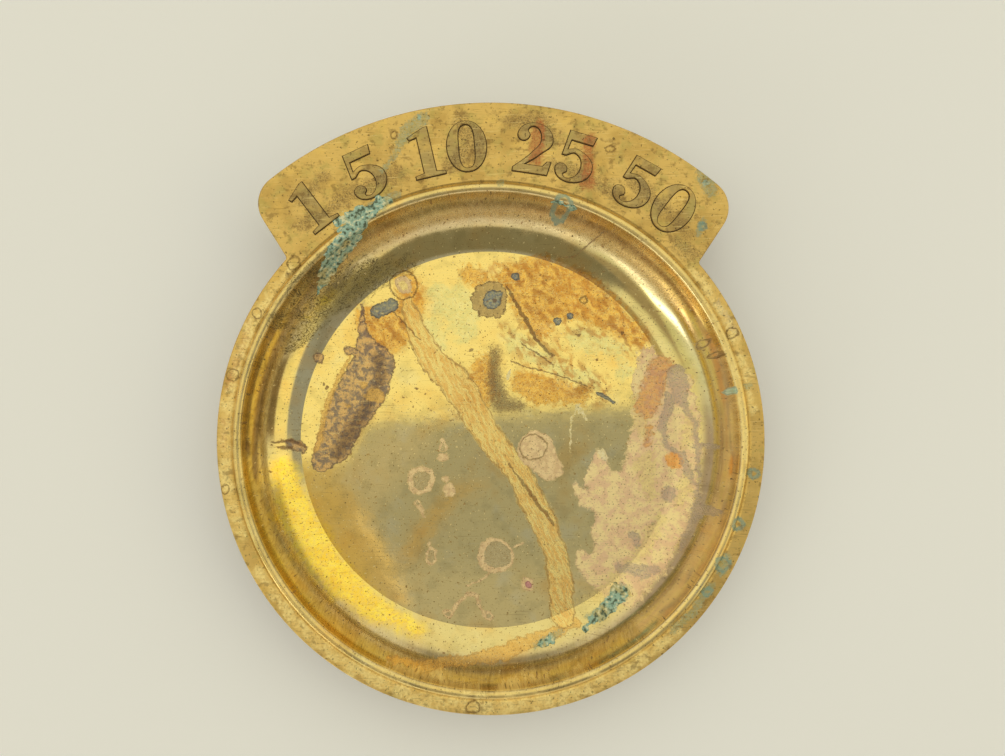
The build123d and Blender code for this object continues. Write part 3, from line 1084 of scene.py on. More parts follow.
def publish(
    name: str,
    mesh: bmesh.types.BMesh,
    finish: Finish,
    replaces: str | None = None,
    sharp_angle: float = SHARP_ANGLE,
) -> bpy.types.Object:
    """Makes a finished piece of the tray from its mesh.

    Args:
        name: The piece's name.
        mesh: Its mesh, which is used up.
        finish: What its surface looks like.
        replaces: The CAD node that it stands for.
        sharp_angle: An edge that turns more than this stays sharp.

    Returns:
        The piece's object.
    """
    for face in mesh.faces:
        face.smooth = True
    data = stored(name, mesh)
    data.set_sharp_from_angle(angle=sharp_angle)
    data.materials.append(finish.material())
    piece = bpy.data.objects.new(name, data)
    bpy.context.scene.collection.objects.link(piece)
    weighted = piece.modifiers.new("weighted_normals", "WEIGHTED_NORMAL")
    weighted.keep_sharp = True
    weighted.weight = LARGE_FACES_FIRST
    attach(piece, "root")
    if replaces:
        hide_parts(replaces)
    log.info("%s: %d faces", name, len(data.polygons))
    return piece


@dataclass(frozen=True)
class Casting:
    """The turned dish with its bead, rim, tab and foot ring, as one brass casting.

    The frame gives the first four sizes. All are in metres.
    """

    rim_radius: float
    crown: float                  # how far the tab reaches
    crest: float                  # height of the bead's crest
    foot: float                   # height of the foot ring's lower face
    rim_land_width: float = 3.7 * MM
    wall_run: float = 10.5 * MM
    well_depth: float = 14.0 * MM
    rim_thickness: float = 2.2 * MM
    wall_thickness: float = 2.0 * MM
    floor_thickness: float = 1.8 * MM
    rim_edge_radius: float = 0.45 * MM
    under_rim_radius: float = 1.5 * MM
    bead_radius: float = 1.15 * MM
    bead_rise: float = 0.6 * MM
    quirk_depth: float = 0.3 * MM
    quirk_width: float = 0.6 * MM
    foot_inset: float = 1.2 * MM
    foot_width: float = 4.0 * MM
    foot_edge_radius: float = 0.25 * MM
    tab_arc_radius: float = 82.4 * MM
    tab_spread: float = radians(97.4)
    tab_flare: float = radians(32.7)
    tab_corner_radius: float = 7.0 * MM
    tab_notch_radius: float = 0.8 * MM
    edge_segments: int = 8
    floor_rings: int = 14
    split_gap: float = 1.0 * MM   # from the rim's round edge to where the plate starts

    @classmethod
    def from_frame(cls) -> "Casting":
        """Reads from the frame what it knows of the casting."""
        low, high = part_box("tray_body")
        return cls(rim_radius=high.x, crown=high.y, crest=high.z, foot=low.z)

    @property
    def land(self) -> float:
        """Height of the rim's upper face."""
        return self.crest - self.bead_rise

    @property
    def underside(self) -> float:
        """Height of the rim's lower face."""
        return self.land - self.rim_thickness

    @property
    def floor(self) -> float:
        """Height of the well's floor."""
        return self.land - self.well_depth

    @property
    def bead_root(self) -> float:
        """Radius at which the bead's circle meets the rim's upper face."""
        return self.rim_radius - self.rim_land_width

    @property
    def bead_centre(self) -> Vector:
        """Centre of the bead's section."""
        drop = self.bead_radius - self.bead_rise
        radius = self.bead_root - sqrt(self.bead_radius**2 - drop**2)
        return Vector((radius, 0, self.land - drop))

    @property
    def wall_top(self) -> float:
        """Radius of the wall where it runs into the bead."""
        return self.bead_centre.x - self.bead_radius

    @property
    def floor_radius(self) -> float:
        """Radius of the floor's crease."""
        return self.wall_top - self.wall_run

    @property
    def wall_arc_radius(self) -> float:
        """Radius of the arc that the wall's section follows."""
        rise = self.bead_centre.z - self.floor
        return (self.wall_run**2 + rise**2) / (2 * self.wall_run)

    @property
    def wall_centre(self) -> Vector:
        """Centre of the arcs that the wall follows inside and outside."""
        return Vector((self.wall_top - self.wall_arc_radius, 0, self.bead_centre.z))

    @property
    def foot_radius(self) -> float:
        """Outer radius of the foot ring."""
        return self.floor_radius - self.foot_inset

    @property
    def split_radius(self) -> float:
        """Radius, on flat land, where the turned dish ends and the cut-out plate starts."""
        return self.rim_radius - self.rim_edge_radius - self.split_gap

    def draw_upper_section(self, mesh: bmesh.types.BMesh) -> None:
        """Draws the floor, the wall, the bead, its groove and the inner rim.

        Args:
            mesh: The mesh that gets the line.
        """
        bead_end = asin((self.bead_radius - self.bead_rise - self.quirk_depth) / self.bead_radius)
        quirk = self.bead_centre + self.bead_radius * Vector((cos(bead_end), 0, sin(bead_end)))
        pen = Pen(mesh, Vector((0, 0, self.floor)), FRONT)
        pen.line(Vector((self.floor_radius, 0, self.floor)), self.floor_rings)
        pen.arc(self.wall_centre, Vector((self.wall_top, 0, self.bead_centre.z)))
        pen.arc(self.bead_centre, quirk, step=2 * ARC_STEP)
        pen.line(Vector((self.bead_root + self.quirk_width, 0, self.land)), steps=2)
        pen.line(Vector((self.split_radius, 0, self.land)))

    def draw_lower_section(self, mesh: bmesh.types.BMesh) -> None:
        """Draws the felt's recess, the foot ring, the outer wall and the rim's underside.

        Args:
            mesh: The mesh that gets the line.
        """
        recess_roof = self.floor - self.floor_thickness
        recess_radius = self.foot_radius - self.foot_width
        arc_radius = self.wall_arc_radius + self.wall_thickness
        centre = self.wall_centre
        run = self.foot_radius - centre.x
        shoulder = centre.z - sqrt(arc_radius**2 - run**2)
        drop = centre.z - self.underside
        neck = centre.x + sqrt(arc_radius**2 - drop**2)
        pen = Pen(mesh, Vector((0, 0, recess_roof)), FRONT)
        pen.line(Vector((recess_radius, 0, recess_roof)), steps=4)
        pen.line(Vector((recess_radius, 0, self.foot)))
        recess_edge = pen.tip
        pen.line(Vector((self.foot_radius, 0, self.foot)))
        foot_edge = pen.tip
        pen.line(Vector((self.foot_radius, 0, shoulder)))
        pen.arc(centre, Vector((neck, 0, self.underside)))
        neck_corner = pen.tip
        pen.line(Vector((self.split_radius, 0, self.underside)))
        for corners, radius in (
            ([recess_edge, foot_edge], self.foot_edge_radius),
            ([neck_corner], self.under_rim_radius / 2),
        ):
            bmesh.ops.bevel(
                mesh, geom=corners, offset=radius, segments=4, profile=0.5,
                affect="VERTICES", material=-1, clamp_overlap=False,
            )

    def draw_half_outline(self, mesh: bmesh.types.BMesh) -> None:
        """Draws the right half of the rim and its tab, as seen from above.

        Args:
            mesh: The mesh that gets the line.
        """
        height = self.land
        root = self.rim_radius * Vector((sin(self.tab_spread / 2), cos(self.tab_spread / 2), 0))
        along = Vector((sin(self.tab_flare), cos(self.tab_flare), 0))
        inward = Vector((-along.y, along.x, 0))
        arc_centre = Vector((0, self.crown - self.tab_arc_radius, 0))
        # The corner's circle touches the side edge and the tab's arc from inside
        side = (root - arc_centre).dot(inward) + self.tab_corner_radius
        reach = self.tab_arc_radius - self.tab_corner_radius
        corner = arc_centre + side * inward + sqrt(reach**2 - side**2) * along
        # The notch's circle touches the side edge and the round rim from outside
        side = root.dot(inward) - self.tab_notch_radius
        reach = self.rim_radius + self.tab_notch_radius
        notch = side * inward + sqrt(reach**2 - side**2) * along
        lift = Vector((0, 0, height))
        pen = Pen(mesh, Vector((0, self.crown, height)), UP)
        pen.arc(arc_centre + lift, corner + lift, step=ARC_STEP / 2)
        pen.arc(corner + lift, corner - inward + lift, step=2 * ARC_STEP)
        pen.line(notch + self.tab_notch_radius * inward + lift, steps=6)
        pen.arc(notch + lift, lift, step=4 * ARC_STEP)
        pen.arc(lift, Vector((0, -self.rim_radius, height)), step=FULL_TURN / TURN_STEPS)

    def rim_plate(self) -> bpy.types.Mesh:
        """Makes the outer rim and its tab, with rounded edges and open faces.

        Returns:
            The stored plate.
        """
        plate = bmesh.new()
        self.draw_half_outline(plate)
        bmesh.ops.mirror(
            plate, geom=plate.verts[:] + plate.edges[:], axis="X", merge_dist=TOUCHING
        )
        bmesh.ops.contextual_create(plate, geom=plate.edges[:])
        made = bmesh.ops.extrude_face_region(plate, geom=plate.faces[:])
        lowered = [part for part in made["geom"] if isinstance(part, bmesh.types.BMVert)]
        bmesh.ops.translate(plate, verts=lowered, vec=-self.rim_thickness * UP)
        level = [
            edge for edge in plate.edges
            if abs(edge.verts[0].co.z - edge.verts[1].co.z) < TOUCHING
        ]
        bmesh.ops.bevel(
            plate, geom=level, offset=self.rim_edge_radius, segments=self.edge_segments,
            profile=0.5, affect="EDGES", material=-1, clamp_overlap=False,
        )
        capped = [face for face in plate.faces if len(face.verts) > 4]
        bmesh.ops.delete(plate, geom=capped, context="FACES_ONLY")
        return stored("rim_plate", plate)

    def mesh(self) -> bmesh.types.BMesh:
        """Builds the whole casting.

        Returns:
            Its mesh.
        """
        mesh = bmesh.new()
        self.draw_upper_section(mesh)
        self.draw_lower_section(mesh)
        turn_section(mesh, TURN_STEPS)
        absorb(mesh, self.rim_plate())
        for height in (self.land, self.underside):
            open_edges = [
                edge for edge in mesh.edges
                if edge.is_boundary
                and all(abs(end.co.z - height) < TOUCHING for end in edge.verts)
            ]
            bmesh.ops.triangle_fill(mesh, use_beauty=True, edges=open_edges, normal=UP)
        bmesh.ops.remove_doubles(mesh, verts=mesh.verts[:], dist=TOUCHING)
        bmesh.ops.recalc_face_normals(mesh, faces=mesh.faces[:])
        return mesh

    def build(self) -> None:
        """Makes the casting's piece."""
        publish("brass_casting", self.mesh(), CastBrass(), replaces="tray_body")

    def on_skin(self, azimuth: float, run: float, lift: float = 0.0) -> Vector:
        """Finds a point on the upper face of the dish.

        Args:
            azimuth: Its direction from the axis, clockwise from the tab.
            run: How far it lies from the floor's crease, along the section.
            lift: How far it stands off the brass.

        Returns:
            The point.
        """
        start = asin((self.floor_radius - self.wall_centre.x) / self.wall_arc_radius)
        wall_length = (pi / 2 - start) * self.wall_arc_radius
        bead_length = self.bead_turn * self.bead_radius
        if run < 0:
            radius, height, lean = self.floor_radius + run, self.floor, 0.0
        elif run < wall_length:
            lean = start + run / self.wall_arc_radius
            radius = self.wall_centre.x + self.wall_arc_radius * sin(lean)
            height = self.wall_centre.z - self.wall_arc_radius * cos(lean)
        elif run < wall_length + bead_length:
            turn = (run - wall_length) / self.bead_radius
            lean = pi / 2 - turn
            radius = self.bead_centre.x - self.bead_radius * cos(turn)
            height = self.bead_centre.z + self.bead_radius * sin(turn)
        else:
            radius = self.bead_root + run - wall_length - bead_length
            height, lean = self.land, 0.0
        radius -= lift * sin(lean)
        height += lift * cos(lean)
        return Vector((radius * sin(azimuth), radius * cos(azimuth), height))

    @property
    def bead_turn(self) -> float:
        """How far the bead's section turns, from the wall to the rim's upper face."""
        return pi - asin((self.bead_radius - self.bead_rise) / self.bead_radius)


ROUND, CORNER = "AUTO", "VECTOR"
Knot = tuple[float, float, str]

# Serif figures with thick stems and thin turns, as shares of their height
FIGURE_SHARES: dict[str, tuple[tuple[Knot, ...], ...]] = {
    "0": (
        ((0.35, -0.01, ROUND), (0.0, 0.5, ROUND), (0.35, 1.01, ROUND), (0.7, 0.5, ROUND)),
        ((0.35, 0.05, ROUND), (0.5, 0.5, ROUND), (0.35, 0.95, ROUND), (0.2, 0.5, ROUND)),
    ),
    "1": ((
        (0.05, 0.0, CORNER), (0.05, 0.055, CORNER), (0.21, 0.085, CORNER),
        (0.21, 0.84, CORNER), (0.07, 0.81, CORNER), (0.05, 0.865, CORNER),
        (0.36, 1.0, CORNER), (0.42, 1.0, CORNER), (0.42, 0.085, CORNER),
        (0.58, 0.055, CORNER), (0.58, 0.0, CORNER),
    ),),
    "2": ((
        (0.02, 0.0, CORNER), (0.02, 0.07, CORNER), (0.31, 0.4, ROUND),
        (0.46, 0.71, ROUND), (0.31, 0.95, ROUND), (0.19, 0.86, ROUND),
        (0.235, 0.75, ROUND), (0.13, 0.64, ROUND), (0.03, 0.76, ROUND),
        (0.34, 1.01, ROUND), (0.655, 0.71, ROUND), (0.45, 0.39, ROUND),
        (0.2, 0.155, CORNER), (0.54, 0.155, CORNER), (0.61, 0.26, CORNER),
        (0.67, 0.26, CORNER), (0.63, 0.0, CORNER),
    ),),
    "5": ((
        (0.1, 1.0, CORNER), (0.58, 1.0, CORNER), (0.55, 0.83, CORNER),
        (0.155, 0.83, CORNER), (0.135, 0.61, CORNER), (0.34, 0.66, ROUND),
        (0.655, 0.33, ROUND), (0.31, -0.01, ROUND), (0.02, 0.2, ROUND),
        (0.12, 0.31, ROUND), (0.225, 0.205, ROUND), (0.17, 0.1, ROUND),
        (0.29, 0.05, ROUND), (0.46, 0.33, ROUND), (0.3, 0.585, ROUND),
        (0.135, 0.5, CORNER), (0.075, 0.5, CORNER),
    ),),
}


@dataclass(frozen=True)
class Numerals:
    """Plain coin values that stand in relief on the tab, each figure upright on an arc."""

    land: float                   # height of the tab's upper face
    values: tuple[str, ...] = ("1", "5", "10", "25", "50")
    height: float = 11.4 * MM
    base_radius: float = 62.7 * MM
    rise: float = 0.4 * MM
    sunk: float = 0.1 * MM
    edge_bevel: float = 0.1 * MM
    figure_gap: float = 1.5 * MM
    value_gap: float = 6.6 * MM
    widening: float = 1.14
    grime_width: float = 0.22 * MM
    grime_rise: float = 0.03 * MM
    curve_steps: int = 10         # from one point of an outline to the next
    sharp_angle: float = radians(30)

    def figure_width(self, figure: str) -> float:
        """Width of a figure."""
        across = [knot[0] for outline in FIGURE_SHARES[figure] for knot in outline]
        return max(across) * self.height * self.widening

    def figure(self, figure: str, swell: float, low: float, high: float) -> bpy.types.Mesh:
        """Makes one figure as a plate, with its lower left corner at the origin.

        Args:
            figure: Which one.
            swell: How far its outline grows all round.
            low: Height of its lower face.
            high: Height of its upper face.

        Returns:
            The stored plate.
        """
        curve = bpy.data.curves.new("figure", "CURVE")
        curve.dimensions, curve.fill_mode = "2D", "BOTH"
        curve.resolution_u = self.curve_steps
        bevel = self.edge_bevel if swell == 0 else 0.0
        curve.bevel_depth, curve.bevel_resolution = bevel, 1
        curve.offset = swell - bevel
        curve.extrude = (high - low) / 2 - bevel
        for outline in FIGURE_SHARES[figure]:
            spline = curve.splines.new("BEZIER")
            spline.bezier_points.add(len(outline) - 1)
            spline.use_cyclic_u = True
            for point, (x, y, handles) in zip(spline.bezier_points, outline):
                point.co = (x * self.height * self.widening, y * self.height, 0)
                point.handle_left_type = point.handle_right_type = handles
        holder = bpy.data.objects.new("figure", curve)
        data = bpy.data.meshes.new_from_object(holder)
        bpy.data.objects.remove(holder)
        bpy.data.curves.remove(curve)
        data.transform(Matrix.Translation((0, 0, (high + low) / 2)))
        return data

    def mesh(self, swell: float, low: float, high: float) -> bmesh.types.BMesh:
        """Sets every figure in its place on the tab.

        Args:
            swell: How far each outline grows all round.
            low: Height of the lower faces.
            high: Height of the upper faces.

        Returns:
            The figures' mesh.
        """
        mesh = bmesh.new()
        middle = self.base_radius + self.height / 2
        widths = [self.figure_width(figure) for value in self.values for figure in value]
        gaps = sum(len(value) - 1 for value in self.values) * self.figure_gap
        gaps += (len(self.values) - 1) * self.value_gap
        run = -(sum(widths) + gaps) / 2
        for value in self.values:
            for figure in value:
                width = self.figure_width(figure)
                data = self.figure(figure, swell, low, high)
                turn = Matrix.Rotation(-(run + width / 2) / middle, 4, "Z")
                data.transform(turn @ Matrix.Translation((-width / 2, self.base_radius, 0)))
                absorb(mesh, data)
                run += width + self.figure_gap
            run += self.value_gap - self.figure_gap
        bmesh.ops.remove_doubles(mesh, verts=mesh.verts[:], dist=TOUCHING)
        bmesh.ops.recalc_face_normals(mesh, faces=mesh.faces[:])
        return mesh

    def build(self) -> None:
        """Makes the figures, and the line of old polish round their foot."""
        low = self.land - self.sunk
        figures = self.mesh(0.0, low, self.land + self.rise)
        publish("tab_numerals", figures, CastBrass(), sharp_angle=self.sharp_angle)
        grime = self.mesh(self.grime_width, low, self.land + self.grime_rise)
        publish("numeral_grime", grime, OldPolish(), sharp_angle=self.sharp_angle)


@dataclass(frozen=True)
class CrustPatch:
    """One patch of crust. Its stops are an azimuth, a run from the crease and a half width."""

    stops: tuple[Stop, ...]       # degrees and millimetres
    thickness: float              # in metres

    def depth(self, azimuth: float, run: float, radius: float) -> float:
        """How far inside the patch a point lies, in millimetres, below zero outside.

        Args:
            azimuth: The point's direction, in degrees.
            run: Its run from the floor's crease, in millimetres.
            radius: Millimetres from the axis, which turns degrees to millimetres.

        Returns:
            The depth.
        """
        scale = radians(1) * radius
        best = float("-inf")
        for start, end in zip(self.stops[:-1], self.stops[1:]):
            first = Vector((start[0] * scale, start[1]))
            step = Vector((end[0] * scale, end[1])) - first
            arm = Vector((azimuth * scale, run)) - first
            share = min(1.0, max(0.0, arm.dot(step) / step.length_squared))
            width = start[2] + share * (end[2] - start[2])
            best = max(best, width - (arm - share * step).length)
        return best


@dataclass(frozen=True)
class VerdigrisCrust:
    """Green copper salts that have grown on the bead, the wall and the tab's edge."""

    casting: Casting
    patches: tuple[CrustPatch, ...] = (
        CrustPatch((
            (-24.5, 22.4, 1.3), (-28.0, 22.0, 2.2), (-31.5, 21.0, 3.0), (-36.7, 17.0, 4.4),
            (-41.5, 14.5, 3.8), (-45.5, 12.3, 2.8), (-50.3, 9.6, 0.6),
        ), 0.34 * MM),
        CrustPatch(((-31.0, 23.0, 1.3), (-34.5, 23.6, 1.3), (-36.0, 23.4, 0.5)), 0.22 * MM),
        CrustPatch(((152.5, 5.6, 0.7), (147.0, 4.4, 1.5), (139.0, 3.4, 2.0)), 0.26 * MM),
        CrustPatch(((166.0, 5.6, 0.8), (162.0, 4.4, 1.1)), 0.2 * MM),
        CrustPatch(((14.0, 17.6, 0.8), (18.6, 17.6, 0.9)), 0.16 * MM),
    )
    pitch: float = 0.28           # of the grid that makes the crust, in millimetres
    margin: float = 1.2           # of the grid round a patch
    ragged: float = 1.5           # how far the noise moves the edge
    taper: float = 0.7            # from the edge to full thickness
    bury: float = 0.12 * MM       # how deep the hidden edge lies in the brass
    shell: float = 0.1 * MM
    skirt: float = 0.5            # how far the hidden edge goes on, as a share of the taper
    mean_lift: float = 0.7        # share of its thickness that it has on average
    grain_lift: float = 0.5       # and how far the grain changes that

    # Scale, roughness, gap between octaves and their number, of the edge and of the grain
    EDGE_NOISE = (0.45, 0.9, 2.2, 4)
    GRAIN_NOISE = (1.6, 0.7, 2.1, 5)
    GRAIN_LEVEL = 5               # height in the noise at which the grain is read

    def patch_mesh(self, patch: CrustPatch) -> bmesh.types.BMesh:
        """Lays a grid on the brass and raises the crust on it.

        Args:
            patch: The patch that it covers.

        Returns:
            The crust's mesh, open below.
        """
        widest = max(stop[2] for stop in patch.stops) + self.margin
        runs = [stop[1] for stop in patch.stops]
        radius = PER_MM * self.casting.on_skin(0, MM * sum(runs) / len(runs)).y
        degree = radians(1) * radius
        azimuths = [stop[0] for stop in patch.stops]
        low = Vector((min(azimuths) * degree - widest, min(runs) - widest))
        high = Vector((max(azimuths) * degree + widest, max(runs) + widest))
        edge_scale, *edge_noise = self.EDGE_NOISE
        grain_scale, *grain_noise = self.GRAIN_NOISE
        mesh = bmesh.new()
        bmesh.ops.create_grid(
            mesh, x_segments=ceil((high.x - low.x) / self.pitch),
            y_segments=ceil((high.y - low.y) / self.pitch), size=0.5,
        )
        outside = []
        for vertex in mesh.verts:
            x = low.x + (vertex.co.x + 0.5) * (high.x - low.x)
            run = low.y + (vertex.co.y + 0.5) * (high.y - low.y)
            azimuth = x / degree
            spread = noise.fractal(Vector((x, run, 0)) * edge_scale, *edge_noise)
            depth = patch.depth(azimuth, run, radius) + self.ragged * spread
            spot = Vector((x, run, self.GRAIN_LEVEL)) * grain_scale
            grain = noise.fractal(spot, *grain_noise)
            full = min(1.0, max(0.0, depth / self.taper))
            height = self.mean_lift + self.grain_lift * grain
            lift = patch.thickness * full * height - self.bury * (1 - full)
            vertex.co = self.casting.on_skin(radians(azimuth), MM * run, lift)
            if depth < -self.skirt * self.taper:
                outside.append(vertex)
        bmesh.ops.delete(mesh, geom=outside, context="VERTS")
        loose = [vertex for vertex in mesh.verts if not vertex.link_faces]
        bmesh.ops.delete(mesh, geom=loose, context="VERTS")
        return mesh

    def build(self) -> None:
        """Makes the crust's piece, closed on its hidden side."""
        mesh = bmesh.new()
        for patch in self.patches:
            absorb(mesh, stored("patch", self.patch_mesh(patch)))
        bmesh.ops.recalc_face_normals(mesh, faces=mesh.faces[:])
        if sum(face.normal.z for face in mesh.faces) < 0:
            bmesh.ops.reverse_faces(mesh, faces=mesh.faces[:])
        bmesh.ops.solidify(mesh, geom=mesh.faces[:], thickness=self.shell)
        publish("verdigris_crust", mesh, CopperSalts(), sharp_angle=pi)


@dataclass(frozen=True)
class FeltPad:
    """A disc cut from pressed wool felt, glued in the recess under the foot."""

    radius: float
    bottom: float
    top: float
    worn_edge: float = 0.3 * MM
    rings: int = 60
    steps: int = 240
    nap: float = 0.05 * MM        # how uneven its lower face is
    level: float = 0.4            # share of the nap that is pressed flat on average

    # Scale per millimetre, roughness, gap between octaves and their number
    FUZZ_NOISE = (1.1, 0.8, 2.0, 3)

    @classmethod
    def from_frame(cls) -> "FeltPad":
        """Reads the pad's size from the frame."""
        low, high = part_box("base_felt")
        return cls(radius=high.x, bottom=low.z, top=high.z)

    def mesh(self) -> bmesh.types.BMesh:
        """Turns the disc and roughens it, no lower than it rests.

        Returns:
            The pad's mesh.
        """
        mesh = bmesh.new()
        pen = Pen(mesh, Vector((0, 0, self.bottom)), FRONT)
        pen.line(Vector((self.radius - self.worn_edge, 0, self.bottom)), self.rings)
        pen.arc(
            Vector((self.radius - self.worn_edge, 0, self.bottom + self.worn_edge)),
            Vector((self.radius, 0, self.bottom + self.worn_edge)), step=5 * ARC_STEP,
        )
        pen.line(Vector((self.radius, 0, self.top)), steps=4)
        pen.line(Vector((0, 0, self.top)), steps=3)
        turn_section(mesh, self.steps)
        bmesh.ops.recalc_face_normals(mesh, faces=mesh.faces[:])
        scale, *fuzz_noise = self.FUZZ_NOISE
        for vertex in mesh.verts:
            fuzz = noise.fractal(vertex.co * scale * PER_MM, *fuzz_noise)
            inward = self.nap * min(1.0, max(0.0, self.level + fuzz))
            if vertex.co.z < self.top - TOUCHING:
                vertex.co -= inward * vertex.normal
        return mesh

    def build(self) -> None:
        """Makes the pad."""
        pad = publish("felt_pad", self.mesh(), PressedFelt(), replaces="base_felt")


@dataclass(frozen=True)
class Card:
    """A flat flag or reflector overhead, with straight edges, that the brass mirrors.

    Its corners go round it against the clock, as the sky above the tray looks when it is
    laid out flat: the point overhead is (0, 0), the tab points along y, and a direction
    at an angle a from overhead lies tan(a / 2) away.
    """

    corners: tuple[Place, ...]
    colour: tuple[float, float, float]
    softness: float = 0.02        # width of its edge, in radians

    def hang(self, canvas: Canvas, raised: Socket, light: Any) -> Socket:
        """Puts the card in front of the light behind it.

        Args:
            canvas: The tree that gets the nodes.
            raised: The direction looked in, plus one unit upwards.
            light: The colour behind the card.

        Returns:
            The colour with the card in it.
        """
        outside = None
        for start, end in zip(self.corners, self.corners[1:] + self.corners[:1]):
            normal = Vector((end[1] - start[1], start[0] - end[0])).normalized()
            edge = (normal.x, normal.y, -normal.dot(Vector(start)))
            beyond = canvas.add("VectorMath", [raised, edge], "Value", operation="DOT_PRODUCT")
            outside = beyond if outside is None else canvas.add(
                "Math", [outside, beyond], operation="MAXIMUM"
            )
        half = self.softness / 2
        share = canvas.add("MapRange", [outside, -half, half, 1.0, 0.0], **SMOOTH)
        return canvas.add(
            "Mix", {COLOUR_FACTOR: share, COLOUR_A: light, COLOUR_B: (*self.colour, 1.0)},
            **COLOUR_MIX,
        )


CARDS = (
    # Far walls of the room, low round the tray
    Card(((0.62, 0.1), (1.0, 0.1), (1.0, 0.75), (0.62, 0.65)), (0.5, 0.48, 0.34), 0.25),
    Card(((-0.3, 0.72), (0.3, 0.72), (0.35, 1.05), (-0.35, 1.05)), (0.42, 0.38, 0.3), 0.2),
    Card(((-0.6, 0.1), (-0.5, 0.7), (-0.8, 0.8), (-1.05, 0.3), (-1.0, -0.25), (-0.7, -0.2)),
         (0.46, 0.38, 0.33), 0.3),
    Card(((-0.3, -0.2), (-0.95, -0.15), (-0.95, -0.9), (-0.3, -1.05)), (0.8, 0.82, 0.58), 0.3),
    Card(((-0.2, -0.62), (-0.3, -1.05), (0.45, -1.0), (0.35, -0.66)), (0.95, 0.9, 0.82), 0.15),
    # Dark flags right above the tray, and what shows at their edges
    Card(((-0.15, -0.3), (-0.45, -0.2), (-0.42, -0.55), (-0.2, -0.6)), (0.42, 0.36, 0.26), 0.15),
    Card(((-0.075, -0.03), (-0.13, -0.03), (-0.2, -0.1), (-0.1, -0.2), (-0.02, -0.17),
         (-0.02, -0.1)), (0.54, 0.45, 0.27), 0.02),
    Card(((-0.07, -0.0037), (-0.084, -0.037), (-0.029, -0.13), (0.41, -0.25), (0.38, 0.035)),
         (0.38, 0.41, 0.5), 0.012),
    Card(((-0.03, -0.12), (-0.27, -0.35), (-0.2, -0.62), (0.28, -0.66), (0.42, -0.3), (0.2, -0.1)),
         (0.32, 0.32, 0.36), 0.03),
    Card(((-0.1, -0.17), (-0.27, -0.35), (-0.2, -0.62), (0.28, -0.66), (0.42, -0.3), (0.2, -0.17)),
         (0.25, 0.235, 0.19), 0.06),
    Card(((-0.05, 0.0), (-0.09, -0.04), (-0.06, -0.06), (-0.02, -0.01)), (0.5, 0.5, 0.55), 0.05),
    Card(((-0.06, -0.1), (-0.05, -0.17), (0.12, -0.17), (0.1, -0.1)), (0.46, 0.48, 0.56), 0.04),
    Card(((-0.012, -0.046), (-0.048, -0.096), (-0.038, -0.099), (-0.006, -0.053)),
         (0.47, 0.38, 0.26), 0.008),
    Card(((-0.012, -0.046), (-0.006, -0.053), (0.014, -0.045), (0.012, -0.041)),
         (0.46, 0.38, 0.28), 0.008),
    Card(((-0.078, -0.05), (-0.089, -0.053), (-0.05, -0.125), (-0.041, -0.126)), (0.5, 0.42, 0.3),
         0.012),
    Card(((-0.072, -0.062), (-0.0755, -0.0635), (-0.0395, -0.1255), (-0.036, -0.1245)),
         (1.0, 0.85, 0.62), 0.004),
    # What stands to the right
    Card(((0.68, -0.02), (0.68, -0.3), (1.0, -0.36), (1.0, -0.02)), (0.26, 0.19, 0.1), 0.06),
    Card(((0.4, -0.02), (0.43, -0.27), (0.68, -0.27), (0.68, -0.02)), (1.2, 1.08, 0.6), 0.05),
    Card(((0.3, 0.0), (1.0, 0.0), (1.0, 0.2), (0.3, 0.02)), (1.3, 1.2, 0.7), 0.08),
    Card(((0.36, -0.44), (0.8, -0.92), (0.92, -0.8), (0.46, -0.34)), (0.13, 0.11, 0.08), 0.08),
    # Windows
    Card(((-0.46, -0.43), (-0.74, -0.42), (-0.72, -0.52), (-0.45, -0.55)), (3.4, 3.3, 3.0), 0.05),
    Card(((-0.42, -0.6), (-0.58, -0.6), (-0.56, -0.72), (-0.42, -0.72)), (2.6, 2.5, 2.2), 0.08),
    Card(((-0.15, -0.76), (-0.36, -0.74), (-0.36, -0.84), (-0.15, -0.86)), (1.8, 1.75, 1.5), 0.1),
)


class PaleTable(Finish):
    """A plain painted table top, matt and almost white."""

    name = "pale_table"

    def paint(self, canvas: Canvas) -> dict[str, Any]:
        """Gives the inputs of the shader."""
        return {"Base Color": linear("#f2f2f8"), "Roughness": 0.6}


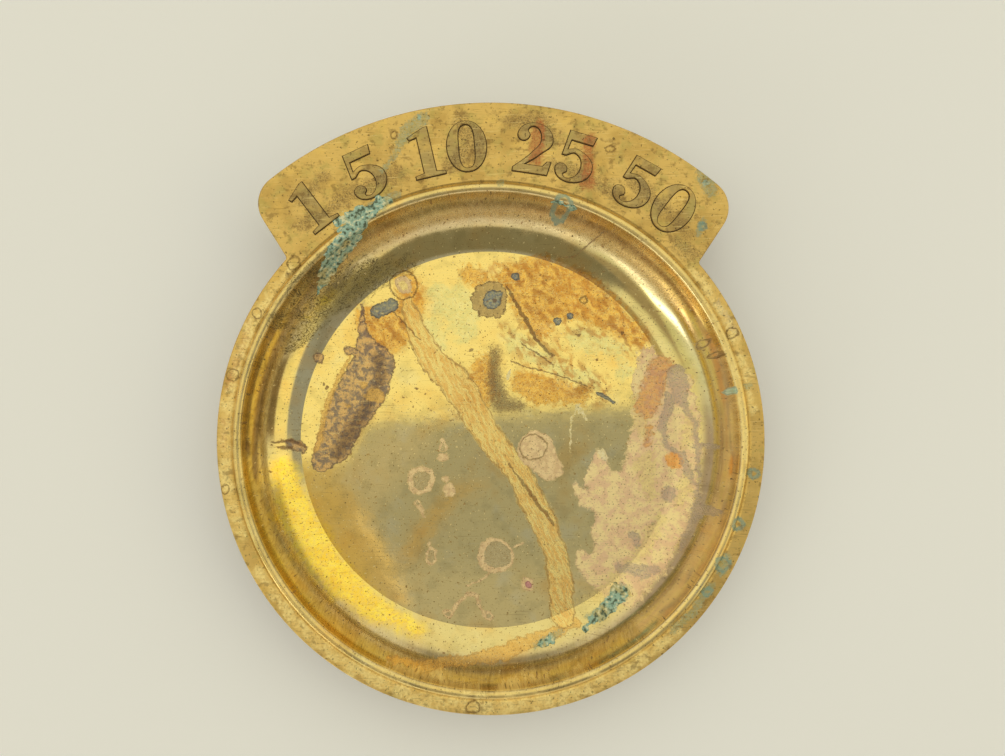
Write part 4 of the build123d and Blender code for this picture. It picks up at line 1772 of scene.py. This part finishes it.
@dataclass(frozen=True)
class Studio:
    """The camera, the room that the brass mirrors and the table under the tray."""

    camera_place: tuple[float, float, float] = (-5.7 * MM, 4.7 * MM, 185.4 * MM)
    roll: float = radians(0.65)
    lens: float = 26.0
    sensor: float = 36.0
    shift: tuple[float, float] = (0.036, 0.0425)
    table_radius: float = 4.0
    table_segments: int = 96
    table_drop: float = 0.05 * MM         # keeps it clear of the felt
    backdrop_colour: str = "#f2f1ee"
    room_colour: str = "#fffde0"
    horizon_colour: str = "#efe6cc"
    room_strength: float = 1.08
    room_levels: tuple[float, float] = (0.8, 0.1)     # of a direction's height

    def place_camera(self) -> None:
        """Looks straight down on the tray from close by."""
        data = bpy.data.cameras.new("camera")
        data.sensor_width = self.sensor
        data.sensor_fit = "HORIZONTAL"
        data.lens = self.lens
        data.shift_x, data.shift_y = self.shift
        data.clip_start = 0.01
        camera = bpy.data.objects.new("camera", data)
        camera.location = self.camera_place
        camera.rotation_euler = (0, 0, self.roll)
        bpy.context.scene.collection.objects.link(camera)
        bpy.context.scene.camera = camera

    def lay_table(self) -> None:
        """Puts a plain pale table under the tray."""
        mesh = bmesh.new()
        bmesh.ops.create_circle(
            mesh, cap_ends=True, radius=self.table_radius, segments=self.table_segments
        )
        bmesh.ops.translate(mesh, verts=mesh.verts[:], vec=-self.table_drop * UP)
        data = stored("table", mesh)
        data.materials.append(PaleTable().material())
        table = bpy.data.objects.new("table", data)
        bpy.context.scene.collection.objects.link(table)

    def light_room(self) -> None:
        """Lights the tray from all round."""
        world = bpy.data.worlds.new("room")
        bpy.context.scene.world = world
        world.use_nodes = True
        canvas = Canvas(world.node_tree)
        direction = canvas.add("TexCoord", output="Generated")
        raised = canvas.add("VectorMath", [direction, UP], operation="ADD")
        height = canvas.add("SeparateXYZ", [direction], "Z")
        low = canvas.add("MapRange", [height, *self.room_levels, 0.0, 1.0])
        light = canvas.add(
            "Mix", {COLOUR_FACTOR: low, COLOUR_A: linear(self.room_colour),
                    COLOUR_B: linear(self.horizon_colour)},
            **COLOUR_MIX,
        )
        for card in CARDS:
            light = card.hang(canvas, raised, light)
        room = canvas.add("Background", {"Color": light, "Strength": self.room_strength})
        backdrop = canvas.add(
            "Background", {"Color": linear(self.backdrop_colour), "Strength": 1.0}
        )
        seen = canvas.add("LightPath", output="Is Camera Ray")
        both = canvas.add("MixShader", [seen, room, backdrop])
        canvas.add("OutputWorld", {"Surface": both})

    def build(self) -> None:
        """Sets up the view, the light and the table."""
        self.place_camera()
        self.light_room()
        self.lay_table()
        bpy.context.scene.view_settings.view_transform = "Standard"


def main() -> None:
    """Builds the studio and dresses the tray, piece by piece."""
    logging.basicConfig(level=logging.INFO, format="%(name)s: %(message)s")
    Studio().build()
    casting = Casting.from_frame()
    casting.build()
    Numerals(casting.land).build()
    VerdigrisCrust(casting).build()
    FeltPad.from_frame().build()
    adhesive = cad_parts["felt_adhesive"]
    adhesive.data.materials.clear()
    adhesive.data.materials.append(DriedAdhesive().material())
    log.info("felt_adhesive: dressed")


if __name__ == "__main__":
    main()
